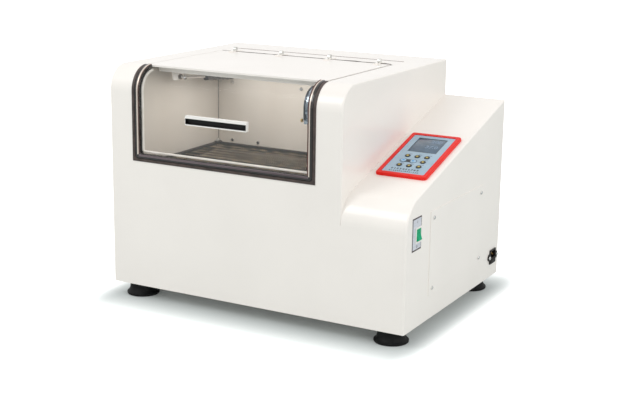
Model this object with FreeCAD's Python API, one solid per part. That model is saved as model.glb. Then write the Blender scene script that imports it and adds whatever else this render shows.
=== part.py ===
import FreeCAD, Part

import math
import os

# Incubated benchtop shaker. Millimetres. While the pieces are made, x is across the front with its
# zero at the middle of the casing, y runs back from the front panel and z runs up from the underside
# of the casing. Every piece is then moved so that the origin is on the floor under the middle.

Vec = FreeCAD.Vector
across = Vec(1, 0, 0)
back = Vec(0, 1, 0)
up = Vec(0, 0, 1)

# Casing
width = 650.0
depth = 466.0
height = 442.0
foot_height = 29.5
pod_width = 132.0
sheet = 1.5
edge_radius = 3.0
front_bend = 48.0
pod_front_height = 233.0
pod_rear_drop = 74.0
pod_bend = 60.0
rear_flange = 14.0
strip_drop = 6.0
overrun = 5.0
tiny = 0.01
full_turn = 360.0

# Clearances
seat_gap = 0.3
touch_gap = 0.1
running_gap = 0.05
screw_gap = 0.1

# Feet
foot_inset_x = 42.7
foot_inset_y = 40.0
foot_radius = 33.0
foot_rim = 4.5
foot_rim_round = 2.0
foot_neck_radius = 26.5
foot_neck_height = 16.0
foot_waist_radius = 28.3
foot_waist_height = 9.5
foot_recess_radius = 8.0
foot_recess_depth = 9.0

# Lid opening and its gasket
opening_inset = 53.2
opening_right_inset = 54.0
sill_height = 256.5
opening_rear_inset = 93.0
gasket_width = 5.5
gasket_proud = 1.0
gasket_depth = 8.0

# Lid
lid_gap = 0.3
lid_side_gap = 4.0
strip_depth = 56.0
lid_top_front = 45.0
lid_top_proud = 0.5
lid_top_thickness = 3.5
trim_width = 11.0
trim_low_width = 9.7
trim_proud = 2.0
trim_round = 3.2
trim_corner = 7.0
trim_inner_corner = 4.0
trim_leg = 1.2
trim_lip_width = 8.5
window_thickness = 4.0
window_lap = 15.0
rim_height = 13.0
rim_wall = 2.0
rim_inset_x = 5.8
rim_setback = 30.0
rim_rear_gap = 21.0
handle_offset = 8.6
handle_length = 137.8
handle_rise_share = 0.678
handle_height = 18.6
handle_proud = 5.0
handle_wall = 0.8
handle_low_wall = 2.2
handle_slot_height = 11.2
handle_slot_depth = 7.0
handle_corner = 1.0

# Hinge strip and the four hinges
strip_front_gap = 4.0
strip_lap = 12.0
hinge_rise = 5.4
hinge_behind_lid = 2.0
hinge_count = 4
hinge_first_inset = 37.3
hinge_last_inset = 30.0
hinge_body_width = 4.0
hinge_lid_width = 3.0
hinge_split = 0.2
hinge_knuckle_radius = 5.0
hinge_pin_radius = 1.5
hinge_leaf_length = 17.0
hinge_lid_leaf_thickness = 2.0
hinge_body_leaf_thickness = 1.5

# Gas struts
strut_inset = 41.8
strut_front_y = 121.0
strut_front_drop = 31.0
strut_rear_gap = 7.0
strut_rear_drop = 50.0
strut_ball_radius = 5.5
strut_eye_radius = 6.5
strut_neck_radius = 3.5
strut_neck_length = 16.0
strut_tube_radius = 7.5
strut_tube_bore = 6.1
strut_tube_share = 0.5187
strut_gland_length = 4.0
strut_rod_radius = 3.0
strut_piston_length = 4.0
strut_cap_length = 2.0
nut_sides = 6
stud_radius = 2.5
stud_length = 15.0
stud_nut_radius = 5.5
stud_nut_length = 5.0
tab_thickness = 2.0
tab_front_reach = 22.0
tab_rear_reach = 10.0
tab_low_reach = 6.0
tab_corner = 8.0
tab_foot = 12.0
anchor_reach = 19.0
anchor_half_height = 9.0

# Chamber
chamber_side_gap = 3.8
chamber_wall = 1.5
chamber_rear_gap = 14.0
chamber_floor_top = 205.0
shaft_hole_radius = 10.0
insulation_gap = 0.5
insulation_side = 48.0
insulation_rear = 32.0
insulation_top_drop = 9.0
insulation_strut_gap = 3.0

# Drive under the chamber floor
base_sheet = 2.0
orbit_radius = 10.0
idler_spread_share = 0.3457
idler_setback_share = 0.2748
frame_plate_bottom = 124.0
frame_plate = 4.0
frame_side_inset = 6.0
frame_front = 34.0
frame_rear_gap = 26.0
frame_leg = 24.0
frame_leg_wall = 2.0
bearing_tube_radius = 22.0
bearing_tube_height = 68.0
bearing_radius = 15.0
bearing_height = 9.0
bearing_seat_radius = 11.0
shaft_radius = 8.0
pulley_radius = 60.0
pulley_bottom = 92.0
pulley_height = 20.0
pulley_web = 8.0
pulley_rim = 10.0
pulley_hub_radius = 18.0
balance_radius = 52.0
balance_height = 9.0
collar_radius = 14.0
collar_height = 6.0
collar_gap = 2.0
disc_radius = 28.0
disc_gap = 3.0
disc_height = 8.0
pin_radius = 6.0
pin_length = 15.0
motor_rear_inset = 80.9
motor_radius = 45.0
motor_height = 96.0
motor_neck_radius = 24.0
motor_neck_height = 10.0
motor_shaft_radius = 6.0
motor_pulley_radius = 20.0
belt_thickness = 2.5
belt_width = 16.0
belt_gap = 0.1

# Shaking platform
tray_side_gap = 3.6
tray_front_gap = 5.0
tray_rear_gap = 6.4
tray_bar = 10.0
tray_bar_height = 14.0
carriage_margin = 3.0
carriage_plate = 4.0
carriage_boss_radius = 17.0
carriage_rise = 12.0
carriage_corner = 14.0
post_inset = 8.0
post_shoulder_radius = 6.0
post_shoulder = 6.0
post_radius = 3.0
post_nut_radius = 6.5
post_nut_height = 5.0
post_dome_radius = 4.5
spring_rows = 11
spring_curls = 9
steps_per_curl = 4
curl_samples = 40
spring_coil_radius = 3.6
spring_wire_radius = 1.0

# Air heating and sensing
fan_rear_gap = 98.0
fan_height_share = 0.4768
fan_hole_radius = 3.4
fan_hole_pitch = 11.0
fan_ring_count = 3
fan_first_ring_count = 6
fan_radius = 38.0
fan_hub_radius = 11.0
fan_blade_count = 6
fan_blade_thickness = 1.5
fan_wheel_gap = 3.0
fan_wheel_depth = 14.0
fan_shaft_radius = 3.0
fan_plate_half = 55.0
fan_plate = 2.0
fan_plate_stand = 21.0
fan_post_radius = 4.0
fan_post_inset = 7.0
fan_motor_radius = 25.0
fan_motor_length = 28.0
heater_ring_radius = 46.5
heater_tube_radius = 4.0
heater_lead_radius = 3.0
heater_stand = 8.0
probe_radius = 3.0
probe_length = 62.0
probe_nut_radius = 7.0
probe_nut = 5.0
probe_rear_gap = 33.0
probe_rise = 12.0

# Lid switch
switch_arm_left = 27.0
switch_arm_width = 8.0
lid_switch_front = 14.0
lid_switch_depth = 16.0
lid_switch_drop = 84.0
lid_switch_height = 28.0
arm_start_y = 17.0
arm_middle_y = 40.0
arm_middle_drop = 37.0
arm_end_y = 66.0
arm_end_drop = 3.4
arm_thickness = 0.8

# Control panel on the pod's slope, measured along the slope from its front corner
bezel_width = 104.0
bezel_length = 176.0
bezel_start = 113.0
bezel_height = 6.0
bezel_border = 8.5
bezel_low_border = 9.0
bezel_corner = 6.0
bezel_round = 2.0
face_thickness = 4.5
face_gap = 0.2
face_lap = 5.0
glass_size = 60.0
glass_start = 211.5
glass_sunk = 0.8
glass_frame = 4.0
board_drop = 3.4
board_thickness = 1.6
board_margin = 2.0
pillar_radius = 2.5
pillar_inset = 4.0
key_pitch_x = 20.0
key_pitch_s = 19.5
key_first_row = 153.5
key_radius = 5.5
key_gap = 0.25
key_proud = 1.1
key_flange_radius = 7.0
key_flange = 1.5
key_flange_gap = 0.2

# Right side panel: service cover, power switch and power inlet
service_front = 104.0
service_rear_inset = 100.0
service_bottom = 46.0
service_height = 163.5
service_lap = 14.0
service_sheet = 1.2
service_screw_inset = 14.0
screw_head_radius = 3.8
screw_head_height = 2.2
screw_radius = 2.0
screw_length = 7.0
switch_front = 36.0
switch_bottom = 164.0
switch_width = 25.0
switch_height = 29.0
switch_proud = 2.5
switch_frame = 2.6
switch_body_inset = 1.5
switch_depth = 20.0
switch_pocket = 11.0
rocker_gap = 0.5
rocker_tilt = 8.0
rocker_pivot_depth = 3.0
rocker_edge_rise = 6.5
rocker_middle_rise = 4.6
rocker_depth = 3.2
rocker_pin_radius = 1.5
rocker_pin_reach = 1.5
inlet_rear_inset = 32.0
inlet_middle_z = 43.0
inlet_width = 31.0
inlet_height = 30.0
inlet_ear_width = 50.0
inlet_ear_height = 15.0
inlet_flange = 2.5
inlet_body_inset = 1.6
inlet_depth = 24.0
socket_width = 24.0
socket_height = 14.5
socket_rise = 2.5
socket_depth = 16.0
contact_width = 2.0
contact_height = 4.0
contact_length = 12.0
contact_spread = 7.0
drawer_width = 22.0
drawer_height = 6.5
drawer_drop = 12.2
drawer_depth = 20.0
drawer_gap = 0.15
drawer_proud = 0.8
inlet_screw_spread = 20.0

# Rear panel
vent_slot = 3.0
vent_length = 60.0
vent_pitch = 9.0
vent_count = 9
vent_bottom = 70.0
vent_left_inset = 115.0
vent_right_inset = 90.0
rear_screw_low = 40.0
rear_screw_rise = 140.0
rear_left_screw_count = 3
rear_right_screw_count = 2

# Screws in the chamber's back wall, as shares of the chamber's width and heights
wall_screw_rise = 48.0
wall_screw_drop = 64.0
low_screw_shares = (0.09, 0.25, 0.91)
high_screw_shares = (0.09, 0.51, 0.91)

# Places worked out from the sizes above
left = -width / 2
right = width / 2
cabinet_right = right - pod_width
pod_middle = (cabinet_right + right) / 2
pod_rear_height = height - pod_rear_drop
slope = math.atan2(pod_rear_height - pod_front_height, depth)
pod_bend_start = pod_front_height - pod_bend * math.tan((math.pi / 2 - slope) / 2)
opening_left = left + opening_inset
opening_right = cabinet_right - opening_right_inset
opening_depth = depth - opening_rear_inset
lid_rear = opening_depth - strip_depth
lid_middle = (opening_left + opening_right) / 2
lid_left = opening_left + gasket_width + lid_gap
lid_right = opening_right - gasket_width - lid_gap
lid_bottom = sill_height + gasket_width + lid_gap
top_left = opening_left + lid_side_gap
top_right = opening_right - lid_side_gap
top_inset = lid_top_thickness - lid_top_proud
window_inset = top_inset + touch_gap
window_back = window_inset + window_thickness
handle_middle_x = lid_middle - handle_offset
flat_window = height - front_bend - sill_height
handle_bottom = sill_height + handle_rise_share * flat_window - handle_height / 2
hinge_y = lid_rear + hinge_behind_lid
hinge_z = height + hinge_rise
hinge_first_x = opening_left + hinge_first_inset
hinge_pitch = (opening_right - hinge_last_inset - hinge_first_x) / (hinge_count - 1)
strip_front = lid_rear + strip_front_gap
inner_left = opening_left + chamber_side_gap
inner_right = opening_right - chamber_side_gap
liner_inset = gasket_depth + touch_gap
chamber_rear = lid_rear - chamber_rear_gap
floor_bottom = chamber_floor_top - chamber_wall
apron_back = liner_inset + chamber_wall
tray_length = inner_right - inner_left - 2 * (orbit_radius + tray_side_gap)
tray_depth = chamber_rear - tray_rear_gap - 2 * orbit_radius - tray_front_gap - apron_back
tray_x = (inner_left + inner_right) / 2
tray_y = apron_back + tray_front_gap + tray_depth / 2
crank_x = tray_x
crank_y = tray_y + orbit_radius
idler_spread = tray_length * idler_spread_share
idler_setback = tray_depth * idler_setback_share
frame_rear = depth - frame_rear_gap
motor_y = depth - motor_rear_inset
motor_setback = motor_y - crank_y
plate_top = frame_plate_bottom + frame_plate
disc_bottom = chamber_floor_top + disc_gap
disc_top = disc_bottom + disc_height
boss_bottom = disc_top + seat_gap
carriage_bottom = disc_top + carriage_rise
carriage_top = carriage_bottom + carriage_plate
tray_bottom = carriage_top + post_shoulder
tray_top = tray_bottom + tray_bar_height
spring_z = tray_bottom + tray_bar_height / 2
strut_left_x = opening_left + strut_inset
strut_front_z = height - strut_front_drop
strut_rear_y = chamber_rear - strut_rear_gap
strut_rear_z = height - strut_rear_drop
strut_reach = math.hypot(strut_rear_y - strut_front_y, strut_front_z - strut_rear_z)
strut_tube_length = (strut_reach - strut_neck_length) * strut_tube_share
to_right_strut = Vec(2 * (lid_middle - strut_left_x), 0, 0)
face_left = pod_middle - bezel_width / 2 + bezel_border
face_start = bezel_start + bezel_low_border
face_width = bezel_width - 2 * bezel_border
face_length = bezel_length - bezel_low_border - bezel_border
rocker_middle_y = switch_front + switch_width / 2
rocker_middle_z = switch_bottom + switch_height / 2
rocker_pivot_x = right - rocker_pivot_depth
fan_y = chamber_rear - fan_rear_gap
fan_z = chamber_floor_top + fan_height_share * (height - chamber_floor_top)
probe_y = chamber_rear - probe_rear_gap
probe_z = fan_z + probe_rise
service_length = depth - service_rear_inset - service_front
inlet_middle_y = depth - inlet_rear_inset

crank_places = [(crank_x, crank_y), (crank_x - idler_spread, crank_y + idler_setback),
                (crank_x + idler_spread, crank_y + idler_setback)]


# Plain shapes

def box(x0, x1, y0, y1, z0, z1):
    return Part.makeBox(x1 - x0, y1 - y0, z1 - z0, Vec(x0, y0, z0))


def rod(start, end, radius):
    line = end - start
    return Part.makeCylinder(radius, line.Length, start, line)


def post(x, y, z0, z1, radius):
    return Part.makeCylinder(radius, z1 - z0, Vec(x, y, z0), up)


def joined(shapes):
    whole = shapes[0]
    for shape in shapes[1:]:
        whole = whole.fuse(shape)
    return whole.removeSplitter()


def without(shape, cuts):
    for cut in cuts:
        shape = shape.cut(cut)
    return shape


def hexagon(start, line, radius):
    corners = []
    for k in range(nut_sides + 1):
        turn = 2 * math.pi * k / nut_sides
        corners.append(Vec(radius * math.cos(turn), radius * math.sin(turn), 0))
    shape = Part.Face(Part.makePolygon(corners)).extrude(Vec(0, 0, line.Length))
    shape.Placement = FreeCAD.Placement(start, FreeCAD.Rotation(up, line))
    return shape


def rounded_box(x0, x1, y0, y1, z0, z1, radius):
    shape = box(x0, x1, y0, y1, z0, z1)
    corners = [e for e in shape.Edges if abs(e.Vertexes[0].X - e.Vertexes[1].X) < tiny
               and abs(e.Vertexes[0].Y - e.Vertexes[1].Y) < tiny]
    return shape.makeFillet(radius, corners)


def on_slope(shape):
    # Drawn flat with y along the slope, then tipped onto the pod's sloping top
    placed = shape.copy()
    placed.Placement = FreeCAD.Placement(Vec(0, 0, pod_front_height),
                                         FreeCAD.Rotation(across, math.degrees(slope)))
    return placed


def mirrored(shape):
    # The same piece on the other side of the lid
    return shape.mirror(Vec(lid_middle, 0, 0), across)


# Casing outlines, each a prism whose front and top lie a given inset inside the outer faces

def bent_prism(inset, x0, x1, top_z, bend, angle, rear_z):
    centre_y = bend
    reach = bend - inset
    lean = math.pi / 2 + angle
    half = (math.pi + lean) / 2
    end_y = centre_y + reach * math.cos(lean)
    end_z = top_z + reach * math.sin(lean)
    low_front = Vec(x0, inset, 0)
    bend_low = Vec(x0, inset, top_z)
    bend_middle = Vec(x0, centre_y + reach * math.cos(half), top_z + reach * math.sin(half))
    bend_high = Vec(x0, end_y, end_z)
    high_rear = Vec(x0, depth, rear_z)
    low_rear = Vec(x0, depth, 0)
    edges = [Part.makeLine(low_front, bend_low),
             Part.Arc(bend_low, bend_middle, bend_high).toShape(),
             Part.makeLine(bend_high, high_rear),
             Part.makeLine(high_rear, low_rear),
             Part.makeLine(low_rear, low_front)]
    return Part.Face(Part.Wire(edges)).extrude(Vec(x1 - x0, 0, 0))


def cabinet_prism(inset, x0, x1):
    return bent_prism(inset, x0, x1, height - front_bend, front_bend, 0, height - inset)


def pod_prism(inset, x0, x1):
    return bent_prism(inset, x0, x1, pod_bend_start, pod_bend, slope,
                      pod_rear_height - inset / math.cos(slope))


def cabinet_layer(outer, inner, x0, x1):
    # The sheet of front and top that lies between two insets
    return cabinet_prism(outer, x0, x1).cut(cabinet_prism(inner, x0, x1))


def round_side(shape, x, radius):
    edges = []
    for edge in shape.Edges:
        middle = edge.CenterOfMass
        on_side = all(abs(vertex.X - x) < tiny for vertex in edge.Vertexes)
        if on_side and middle.z > tiny and middle.y < depth - tiny:
            edges.append(edge)
    return shape.makeFillet(radius, edges)


def cabinet_hollow():
    hollow = cabinet_prism(sheet, left + sheet, cabinet_right - sheet)
    hollow = round_side(hollow, left + sheet, edge_radius - sheet)
    return round_side(hollow, cabinet_right - sheet, edge_radius - sheet)


def pod_hollow():
    hollow = pod_prism(sheet, cabinet_right, right - sheet)
    return round_side(hollow, right - sheet, edge_radius - sheet)


def cabinet_shell():
    outer = cabinet_prism(0, left, cabinet_right)
    outer = round_side(round_side(outer, left, edge_radius), cabinet_right, edge_radius)
    corner = box(cabinet_right - edge_radius, cabinet_right, 0, edge_radius, 0, pod_bend_start)
    return outer.fuse(corner).removeSplitter().cut(cabinet_hollow())


def pod_shell():
    outer = round_side(pod_prism(0, cabinet_right, right), right, edge_radius)
    return outer.cut(pod_hollow())


def slab(x0, x1):
    return box(x0, x1, -overrun, depth + overrun, -overrun, height + overrun)


# Screws: each is a place on a surface and the way that its head faces

def screw_places():
    places = []
    for y in (service_front + service_screw_inset,
              service_front + service_length - service_screw_inset):
        for z in (service_bottom + service_screw_inset,
                  service_bottom + service_height - service_screw_inset):
            places.append((Vec(right + service_sheet, y, z), across))
    for side in (-1, 1):
        places.append((Vec(right + inlet_flange, inlet_middle_y + side * inlet_screw_spread,
                           inlet_middle_z), across))
    for x, count in ((left + sheet + rear_flange / 2, rear_left_screw_count),
                     (right - sheet - rear_flange / 2, rear_right_screw_count)):
        for step in range(count):
            places.append((Vec(x, depth, rear_screw_low + step * rear_screw_rise), back))
    for z, row_shares in ((chamber_floor_top + wall_screw_rise, low_screw_shares),
                          (height - wall_screw_drop, high_screw_shares)):
        for x_share in row_shares:
            x = inner_left + x_share * (inner_right - inner_left)
            places.append((Vec(x, chamber_rear, z), back * -1))
    return places


def panel_screws():
    screws = []
    for place, way in screw_places():
        head = rod(place, place + way * screw_head_height, screw_head_radius)
        head = head.makeFillet(screw_head_height / 2, [head.Edges[0]])
        shank = rod(place, place - way * screw_length, screw_radius)
        screws.append(head.fuse(shank).removeSplitter())
    return Part.makeCompound(screws)


def screw_holes():
    return [rod(place + way * overrun, place - way * (screw_length + overrun),
                screw_radius + screw_gap) for place, way in screw_places()]


# Casing pieces

def opening_cut():
    return box(opening_left, opening_right, -overrun, opening_depth, sill_height, height + overrun)


def outer_wrapper():
    middle = slab(left + edge_radius, cabinet_right - edge_radius)
    return cabinet_shell().common(middle).cut(opening_cut())


def left_side_panel():
    panel = cabinet_shell().common(slab(left, left + edge_radius))
    flange = box(left + sheet, left + sheet + rear_flange, depth - 2 * sheet, depth - sheet,
                 base_sheet, height - edge_radius - sheet)
    return without(joined([panel, flange]), screw_holes())


def cabinet_right_wall():
    wall = cabinet_shell().common(slab(cabinet_right - edge_radius, cabinet_right))
    return without(wall, [base_pan(), rear_panel()])


def pod_wrapper():
    window = box(face_left + face_lap, face_left + face_width - face_lap,
                 face_start + face_lap, face_start + face_length - face_lap, -overrun, overrun)
    wrapper = pod_shell().common(slab(cabinet_right, right - edge_radius))
    return wrapper.cut(on_slope(window))


def pod_side_panel():
    panel = pod_shell().common(slab(right - edge_radius, right))
    flange = box(right - sheet - rear_flange, right - sheet, depth - 2 * sheet, depth - sheet,
                 base_sheet, pod_front_height + strip_drop)
    service = box(right - overrun, right + overrun, service_front + service_lap,
                  service_front + service_length - service_lap, service_bottom + service_lap,
                  service_bottom + service_height - service_lap)
    switch = box(right - overrun, right + overrun, switch_front + switch_body_inset - touch_gap,
                 switch_front + switch_width - switch_body_inset + touch_gap,
                 switch_bottom + switch_body_inset - touch_gap,
                 switch_bottom + switch_height - switch_body_inset + touch_gap)
    inlet = inlet_block(right - overrun, right + overrun, touch_gap)
    return without(joined([panel, flange]), [service, switch, inlet] + screw_holes())


def wall_strip(y0, y1, z0, z1):
    return box(cabinet_right - sheet, cabinet_right, y0, y1, z0, z1)


def base_pan():
    level = box(left, right, -overrun, depth + overrun, -overrun, base_sheet)
    floor = cabinet_hollow().fuse(pod_hollow()).common(level)
    strip = wall_strip(edge_radius, depth, 0, base_sheet)
    return joined([floor, strip])


def rear_panel():
    level = box(left, right, depth - sheet, depth + overrun, base_sheet, height + overrun)
    panel = cabinet_hollow().fuse(pod_hollow()).common(level)
    strip = wall_strip(depth - sheet, depth, base_sheet, pod_rear_height - strip_drop)
    slots = []
    for middle_x in (left + vent_left_inset, right - vent_right_inset):
        for step in range(vent_count):
            z = vent_bottom + step * vent_pitch
            slots.append(box(middle_x - vent_length / 2, middle_x + vent_length / 2,
                             depth - overrun, depth + overrun, z, z + vent_slot))
    return without(joined([panel, strip]), slots + screw_holes())


def service_panel():
    panel = box(right, right + service_sheet, service_front, service_front + service_length,
                service_bottom, service_bottom + service_height)
    return without(panel, screw_holes())


def rubber_feet():
    outline = [Vec(0, 0, 0), Vec(foot_radius, 0, 0), Vec(foot_radius, 0, foot_rim)]
    waist = Part.Arc(Vec(foot_radius, 0, foot_rim), Vec(foot_waist_radius, 0, foot_waist_height),
                     Vec(foot_neck_radius, 0, foot_neck_height)).toShape()
    edges = [Part.makeLine(outline[0], outline[1]), Part.makeLine(outline[1], outline[2]), waist,
             Part.makeLine(Vec(foot_neck_radius, 0, foot_neck_height),
                           Vec(foot_neck_radius, 0, foot_height)),
             Part.makeLine(Vec(foot_neck_radius, 0, foot_height), Vec(0, 0, foot_height)),
             Part.makeLine(Vec(0, 0, foot_height), Vec(0, 0, 0))]
    foot = Part.Face(Part.Wire(edges)).revolve(Vec(0, 0, 0), up, full_turn)
    rims = [e for e in foot.Edges if abs(e.CenterOfMass.z) < tiny and len(e.Vertexes) == 1]
    foot = foot.makeFillet(foot_rim_round, rims)
    foot = foot.cut(post(0, 0, -overrun, foot_recess_depth, foot_recess_radius))
    feet = []
    for x in (left + foot_inset_x, right - foot_inset_x):
        for y in (foot_inset_y, depth - foot_inset_y):
            feet.append(foot.translated(Vec(x, y, -foot_height)))
    return Part.makeCompound(feet)


# Chamber pieces

def anchor_bracket():
    # Left rear strut anchor: a tab on the back wall with a pin that points to the middle
    tab_x = strut_left_x - stud_length
    tab = box(tab_x, tab_x + tab_thickness, chamber_rear - anchor_reach, chamber_rear,
              strut_rear_z - anchor_half_height, strut_rear_z + anchor_half_height)
    pin = rod(Vec(tab_x, strut_rear_y, strut_rear_z),
              Vec(strut_left_x + strut_eye_radius, strut_rear_y, strut_rear_z), stud_radius)
    return tab.fuse(pin)


def chamber_liner():
    block = cabinet_prism(liner_inset, inner_left - chamber_wall, inner_right + chamber_wall)
    block = block.common(box(left, right, 0, chamber_rear + chamber_wall, floor_bottom, height))
    hollow = box(inner_left, inner_right, -overrun, chamber_rear, -overrun, height + overrun)
    liner = joined([block.cut(hollow), anchor_bracket(), mirrored(anchor_bracket())])
    probe = rod(Vec(inner_right - overrun, probe_y, probe_z),
                Vec(inner_right + overrun, probe_y, probe_z), probe_radius + touch_gap)
    return without(liner, fan_holes() + [probe] + screw_holes())


def fan_holes():
    holes = []
    for ring in range(fan_ring_count + 1):
        count = max(1, fan_first_ring_count * ring)
        for step in range(count):
            turn = 2 * math.pi * step / count
            y = fan_y + ring * fan_hole_pitch * math.cos(turn)
            z = fan_z + ring * fan_hole_pitch * math.sin(turn)
            holes.append(rod(Vec(inner_right - overrun, y, z), Vec(inner_right + overrun, y, z),
                             fan_hole_radius))
    return holes


def chamber_floor():
    flange_top = sill_height - touch_gap
    floor = box(inner_left, inner_right, apron_back, chamber_rear, floor_bottom, chamber_floor_top)
    apron = box(inner_left, inner_right, liner_inset, apron_back, floor_bottom, flange_top)
    flange = box(inner_left, inner_right, sheet, liner_inset, flange_top - chamber_wall, flange_top)
    holes = [post(x, y, floor_bottom - overrun, chamber_floor_top + overrun, shaft_hole_radius)
             for x, y in crank_places]
    return without(joined([floor, apron, flange]), holes)


def insulation():
    inset = gasket_depth + insulation_gap
    wall_left = inner_left - chamber_wall - insulation_gap
    wall_right = inner_right + chamber_wall + insulation_gap
    wall_rear = chamber_rear + chamber_wall + insulation_gap
    top = height - insulation_top_drop - gasket_depth
    level = box(left, right, inset, chamber_rear, floor_bottom, top)
    left_board = cabinet_prism(inset, wall_left - insulation_side, wall_left).common(level)
    right_board = cabinet_prism(inset, wall_right,
                                cabinet_right - sheet - insulation_gap).common(level)
    room = fan_plate_half + insulation_strut_gap
    duct = box(wall_right - overrun, cabinet_right, fan_y - room, fan_y + room,
               fan_z - room, fan_z + room)
    probe_room = box(wall_right - overrun, cabinet_right, probe_y - probe_nut_radius - overrun,
                     probe_y + probe_nut_radius + overrun, probe_z - probe_nut_radius - overrun,
                     probe_z + probe_nut_radius + overrun)
    rear_board = box(inner_left, inner_right, wall_rear, wall_rear + insulation_rear,
                     floor_bottom, top)
    boards = [left_board, without(right_board, [duct, probe_room]), rear_board]
    return Part.makeCompound([without(board, screw_holes()) for board in boards])


def opening_gasket():
    edge = cabinet_layer(-gasket_proud, gasket_depth, opening_left, opening_right)
    edge = edge.common(box(opening_left, opening_right, -overrun, lid_top_front - lid_gap,
                           sill_height, height + overrun))
    inside = low_rounded(box(opening_left + gasket_width, opening_right - gasket_width, -overrun,
                             depth, sill_height + gasket_width, height + overrun),
                         trim_corner + lid_gap)
    rail_top = height - top_inset - seat_gap
    rail_bottom = height - gasket_depth
    rails = []
    for x in (opening_left, opening_right - gasket_width):
        rails.append(box(x, x + gasket_width, lid_top_front - lid_gap, chamber_rear + gasket_width,
                         rail_bottom, rail_top))
    rear_rail = box(opening_left, opening_right, chamber_rear, chamber_rear + gasket_width,
                    rail_bottom, rail_top)
    bend_side = cabinet_layer(top_inset + seat_gap, gasket_depth, opening_left, opening_right)
    rails = [rail.common(bend_side) for rail in rails]
    return joined([edge.cut(inside)] + rails + [rear_rail])


def hinge_strip():
    cover = box(opening_left + lid_gap, opening_right - lid_gap, strip_front,
                opening_depth - lid_gap, height - sheet, height)
    lap = box(opening_left - strip_lap, opening_right + strip_lap, strip_front,
              opening_depth + strip_lap, height - 2 * sheet, height - sheet)
    return joined([cover, lap])


# Lid pieces

def lid_zone(inset_x, low):
    return box(lid_left + inset_x, lid_right - inset_x, -overrun, lid_top_front, low,
               height + overrun)


def low_rounded(shape, radius):
    # Rounds the two lowest edges that run along y
    low = shape.BoundBox.ZMin
    edges = [e for e in shape.Edges if abs(e.CenterOfMass.z - low) < tiny
             and abs(e.Vertexes[0].X - e.Vertexes[1].X) < tiny]
    return shape.makeFillet(radius, edges)


def lid_window():
    pane = cabinet_layer(window_inset, window_back, lid_left + trim_leg, lid_right - trim_leg)
    zone = box(lid_left + trim_leg, lid_right - trim_leg, -overrun, lid_top_front + window_lap,
               lid_bottom + trim_leg, height)
    return pane.common(low_rounded(zone, trim_corner - trim_leg))


def lid_trim():
    face_ring = cabinet_layer(-trim_proud, window_inset, lid_left, lid_right)
    outer = low_rounded(lid_zone(0, lid_bottom), trim_corner)
    face_ring = face_ring.common(outer)
    face_ring = face_ring.cut(low_rounded(lid_zone(trim_width, lid_bottom + trim_low_width),
                                          trim_inner_corner))
    rims = [e for e in face_ring.Edges if outer_trim_edge(e)]
    face_ring = face_ring.makeFillet(trim_round, rims)
    leg = cabinet_layer(window_inset, window_back, lid_left, lid_right)
    leg = leg.common(outer).cut(low_rounded(lid_zone(trim_leg, lid_bottom + trim_leg),
                                            trim_corner - trim_leg))
    lip = cabinet_layer(window_back, window_back + trim_leg, lid_left, lid_right)
    lip = lip.common(outer).cut(low_rounded(lid_zone(trim_lip_width, lid_bottom + trim_lip_width),
                                            trim_inner_corner))
    return joined([face_ring, leg, lip])


def outer_trim_edge(edge):
    # Edges on the proud face, apart from the two cut ends at the lid's top
    for point in (edge.valueAt(edge.FirstParameter), edge.valueAt(edge.LastParameter)):
        if point.z > height - front_bend + tiny:
            reach = math.hypot(point.y - front_bend, point.z - height + front_bend)
            if abs(reach - front_bend - trim_proud) > tiny:
                return False
        elif abs(point.y + trim_proud) > tiny:
            return False
    return abs(edge.CenterOfMass.y - lid_top_front) > tiny


def lid_top():
    plate = cabinet_layer(-lid_top_proud, top_inset, top_left, top_right)
    plate = plate.common(box(left, right, lid_top_front, lid_rear, height / 2, height + overrun))
    rim_left = lid_left - lid_gap + rim_inset_x
    rim_right = lid_right + lid_gap - rim_inset_x
    rim_front = lid_top_front + rim_setback
    rim_rear = lid_rear - rim_rear_gap
    rim = box(rim_left, rim_right, rim_front, rim_rear, height - top_inset - rim_height,
              height - top_inset)
    rim = rim.cut(box(rim_left + rim_wall, rim_right - rim_wall, rim_front + rim_wall,
                      rim_rear - rim_wall, 0, height))
    return joined([plate, rim])


def lid_handle():
    x0 = handle_middle_x - handle_length / 2
    z0 = handle_bottom
    body = rounded_along_y(x0, x0 + handle_length, -handle_proud, window_inset, z0,
                           z0 + handle_height)
    slot = box(x0 + handle_wall, x0 + handle_length - handle_wall, -handle_proud - overrun,
               -handle_proud + handle_slot_depth, z0 + handle_low_wall,
               z0 + handle_low_wall + handle_slot_height)
    return body.cut(slot)


def rounded_along_y(x0, x1, y0, y1, z0, z1):
    shape = box(x0, x1, y0, y1, z0, z1)
    corners = [e for e in shape.Edges if abs(e.Vertexes[0].X - e.Vertexes[1].X) < tiny
               and abs(e.Vertexes[0].Z - e.Vertexes[1].Z) < tiny]
    return shape.makeFillet(handle_corner, corners)


def hinge_xs():
    return [hinge_first_x + k * hinge_pitch for k in range(hinge_count)]


def knuckle(x0, x1, radius, hole):
    barrel = rod(Vec(x0, hinge_y, hinge_z), Vec(x1, hinge_y, hinge_z), radius)
    bore = rod(Vec(x0 - overrun, hinge_y, hinge_z), Vec(x1 + overrun, hinge_y, hinge_z), hole)
    return barrel, bore


def hinge_body_leaves():
    leaves = []
    for x in hinge_xs():
        x0 = x - hinge_body_width / 2
        x1 = x + hinge_body_width / 2
        barrel, bore = knuckle(x0, x1, hinge_knuckle_radius, hinge_pin_radius)
        web = box(x0, x1, hinge_y, hinge_y + hinge_knuckle_radius, height + touch_gap, hinge_z)
        web = web.cut(box(x0, x1, hinge_y, strip_front + touch_gap, height, height + touch_gap))
        outside = hinge_body_width / 2 + hinge_split + hinge_lid_width
        plate = box(x - outside, x + outside, strip_front + hinge_knuckle_radius / 2,
                    strip_front + hinge_leaf_length, height, height + hinge_body_leaf_thickness)
        leaves.append(joined([barrel, web, plate]).cut(bore))
    return Part.makeCompound(leaves)


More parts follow.
